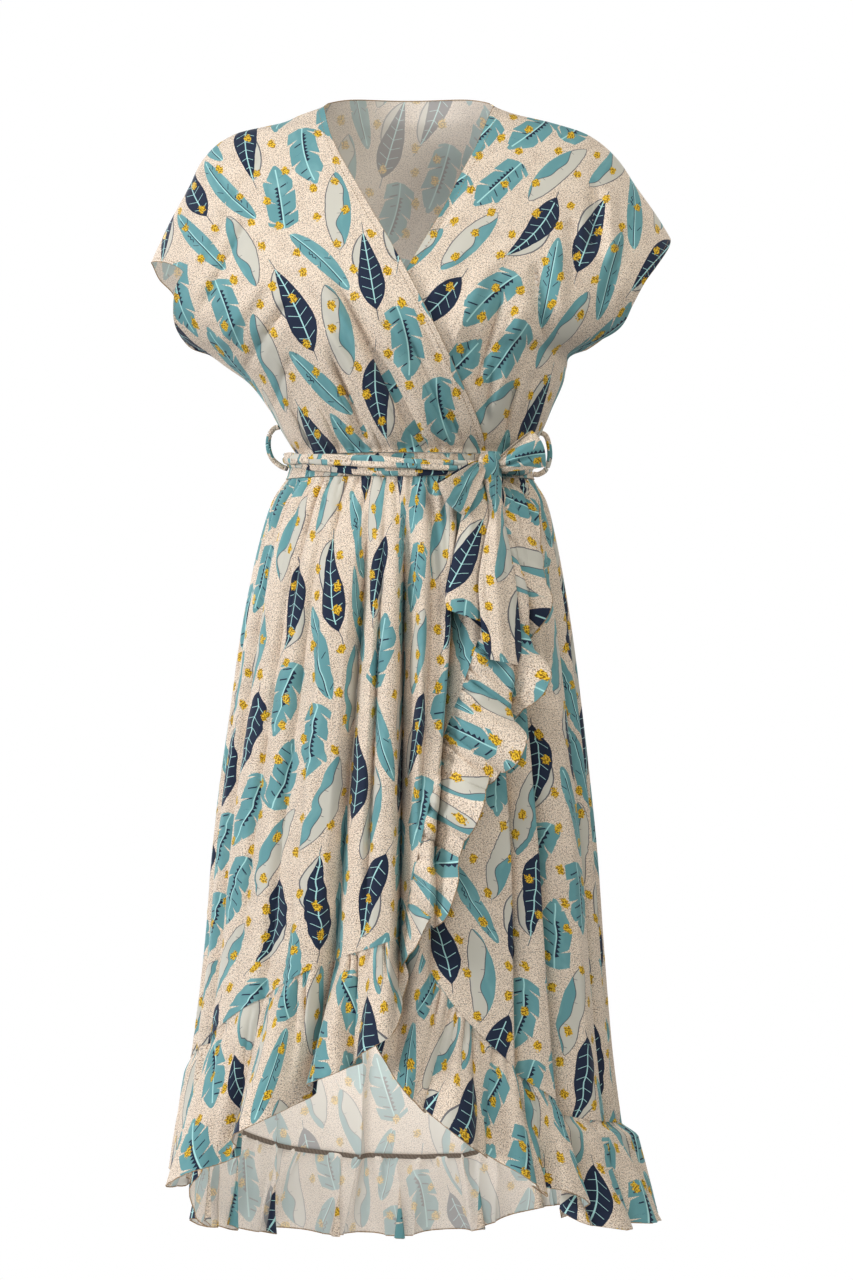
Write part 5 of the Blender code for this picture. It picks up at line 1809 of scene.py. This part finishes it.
class DRESS_OT_stage(bpy.types.Operator):
    """Pale floor, soft studio light and a level camera in front"""
    bl_idname = "dress.stage"
    bl_label = "Stage"

    def execute(self, context):
        scene = context.scene
        material, tree, shader = new_material("pale_floor")
        place = Value(tree, add_node(tree, "ShaderNodeTexCoord").outputs["Object"])
        cloudy = noise(tree, place, 0.8, 2.0)
        wire(tree, blended(tree, cloudy, (0.90, 0.90, 0.90, 1.0), (0.94, 0.94, 0.94, 1.0)),
             shader.inputs["Base Color"])
        shader.inputs["Roughness"].default_value = 0.9
        turn = np.linspace(0.0, 2 * math.pi, 129)[:-1]
        edge = ((0.0, 0.0), (FLOOR_RADIUS - 0.02, 0.0), (FLOOR_RADIUS - 0.006, -0.003),
                (FLOOR_RADIUS, -0.010), (FLOOR_RADIUS, -0.030), (0.0, -0.030))
        rings = np.array([np.stack((reach * np.sin(turn), -reach * np.cos(turn), FLOOR + drop + 0 * turn),
                                   -1) for reach, drop in edge])
        joined("round_floor", [loft(rings, rings[..., :2])], [material])

        # Plain white to the camera, and only a weak even light to the dress
        world = bpy.data.worlds.new("studio")
        world.use_nodes = True
        tree = world.node_tree
        weak = tree.nodes["Background"]
        weak.inputs[0].default_value = (0.97, 0.985, 1.0, 1.0)
        weak.inputs[1].default_value = EVEN_LIGHT
        plain = add_node(tree, "ShaderNodeBackground")
        plain.inputs[0].default_value = (1.0, 1.0, 1.0, 1.0)
        seen = add_node(tree, "ShaderNodeMixShader")
        tree.links.new(add_node(tree, "ShaderNodeLightPath").outputs["Is Camera Ray"], seen.inputs[0])
        tree.links.new(weak.outputs[0], seen.inputs[1])
        tree.links.new(plain.outputs[0], seen.inputs[2])
        tree.links.new(seen.outputs[0], tree.nodes["World Output"].inputs["Surface"])
        scene.world = world

        cool = (0.985, 0.99, 1.0)
        warm = (1.0, 0.98, 0.91)
        for name, place, aim, size, power, colour in (
                ("key", (-2.85, -1.5, 0.2), (0.0, 0.0, -0.6), 1.1, 67.5, cool),
                ("top", (-0.6, -1.6, 2.2), (0.0, 0.0, -0.3), 1.0, 29.0, cool),
                ("fill", (2.0, -2.6, 0.8), (0.0, 0.0, -0.5), 1.4, 36.0, warm),
                ("low", (-0.8, -2.5, -1.35), (0.0, 0.0, -0.6), 1.2, 12.0, cool),
                ("shoulder", (1.6, -1.1, 0.9), (0.24, 0.0, -0.15), 0.6, 7.0, warm),
                ("inside_hem", (-0.05, -0.04, -0.95), (0.05, 0.15, -1.24), 0.16, 0.48, cool),
                ("inside_neck", (0.0, -0.05, -0.30), (0.0, 0.10, -0.06), 0.10, 0.11, cool),
                ("inside_sleeve", (-0.11, 0.0, -0.22), (-0.27, -0.02, -0.19), 0.06, 0.08, cool),
                ("back_left", (-2.0, 2.2, 0.5), (0.0, 0.0, -0.6), 1.4, 50.0, cool),
                ("back_right", (2.0, 2.4, 0.7), (0.0, 0.0, -0.6), 1.4, 34.0, warm)):
            light = bpy.data.lights.new(name, "AREA")
            light.shape = "SQUARE"
            light.size = size
            light.energy = power
            light.color = colour
            lamp = bpy.data.objects.new(name, light)
            lamp.location = place
            direction = np.array(aim) - np.array(place)
            lamp.rotation_euler = (math.acos(-direction[2] / np.linalg.norm(direction)), 0.0,
                                   math.atan2(direction[1], direction[0]) - math.pi / 2)
            scene.collection.objects.link(lamp)

        camera = bpy.data.cameras.new("camera")
        camera.sensor_fit = "VERTICAL"
        camera.sensor_height = FILM_HEIGHT
        camera.lens = FILM_HEIGHT * CAMERA_DISTANCE / VIEW_HEIGHT
        holder = bpy.data.objects.new("camera", camera)
        holder.location = (CAMERA_SIDE, -CAMERA_DISTANCE, CAMERA_HEIGHT)
        holder.rotation_euler = (math.pi / 2, 0.0, 0.0)
        scene.collection.objects.link(holder)
        scene.camera = holder
        scene.view_settings.view_transform = "Standard"
        scene.view_settings.gamma = DARKEN
        return {"FINISHED"}


# ---- properties, panel and registration ----

def length_property(name, description, size):
    return FloatProperty(name=name, description=description, default=size, unit="LENGTH")


class DressSizes(bpy.types.PropertyGroup):
    """Sizes that a user would change"""
    cloth: length_property("Cloth", "Thickness of the crepe", CLOTH)
    gather_depth: length_property("Gathers", "Depth of the gathers at the waist", GATHER_DEPTH)
    flute_depth: length_property("Flutes", "How far the flounces' flutes stand out", FLUTE_DEPTH)


def colour_property(name, description, text):
    return FloatVectorProperty(name=name, description=description, subtype="COLOR", default=rgb(text)[:3],
                               min=0.0, max=1.0)


class DressColours(bpy.types.PropertyGroup):
    """Inks and ground of the print"""
    ground: colour_property("Ground", "Pale base of the ground", "EBDDCD")
    speck: colour_property("Specks", "Brown specks of the ground", "8F745D")
    grey: colour_property("Grey specks", "Grey specks of the ground", "948E8A")
    teal: colour_property("Teal", "Blades of the leaves", "6F9FA4")
    navy: colour_property("Navy", "Dark blades and shadows", "28334A")
    vein: colour_property("Veins", "Midribs and ribs", "B4DEDD")
    flank: colour_property("Flanks", "Grey sides of leaves", "CBC8BE")
    line: colour_property("Outlines", "Thin outlines", "5B5A63")
    gold: colour_property("Gold", "Bright gold ink", "E9C33C")
    dark_gold: colour_property("Dark gold", "Mottled gold ink", "8F6A12")
    # Partly the wrong side's own paler print, and partly painted light: made paler still to stand for light
    # that shines through the thin crepe.
    wrong_side_lit_through: colour_property("Wrong side", "Pale colour over the print on the wrong side", "F0EBE6")


class DRESS_PT_panel(bpy.types.Panel):
    """Pieces of the wrap dress"""
    bl_label = "Wrap dress"
    bl_idname = "DRESS_PT_panel"
    bl_space_type = "VIEW_3D"
    bl_region_type = "UI"
    bl_category = "Wrap dress"

    def draw(self, context):
        for settings in (context.scene.dress_sizes, context.scene.dress_colours):
            box = self.layout.box()
            for name in settings.__annotations__:
                box.prop(settings, name)
        for operator in OPERATORS:
            self.layout.operator(operator.bl_idname)


OPERATORS = (DRESS_OT_bodice, DRESS_OT_waist, DRESS_OT_skirt, DRESS_OT_flounces, DRESS_OT_tie,
             DRESS_OT_belt_loops, DRESS_OT_sewing, DRESS_OT_stage)
CLASSES = (DressSizes, DressColours, *OPERATORS, DRESS_PT_panel)


def register():
    for item in CLASSES:
        bpy.utils.register_class(item)
    bpy.types.Scene.dress_sizes = PointerProperty(type=DressSizes)
    bpy.types.Scene.dress_colours = PointerProperty(type=DressColours)


def unregister():
    del bpy.types.Scene.dress_colours
    del bpy.types.Scene.dress_sizes
    for item in reversed(CLASSES):
        bpy.utils.unregister_class(item)


def main():
    register()
    bpy.ops.dress.bodice()
    bpy.ops.dress.waist()
    bpy.ops.dress.skirt()
    bpy.ops.dress.flounces()
    bpy.ops.dress.tie()
    bpy.ops.dress.belt_loops()
    bpy.ops.dress.sewing()
    bpy.ops.dress.stage()


if __name__ == "__main__":
    main()
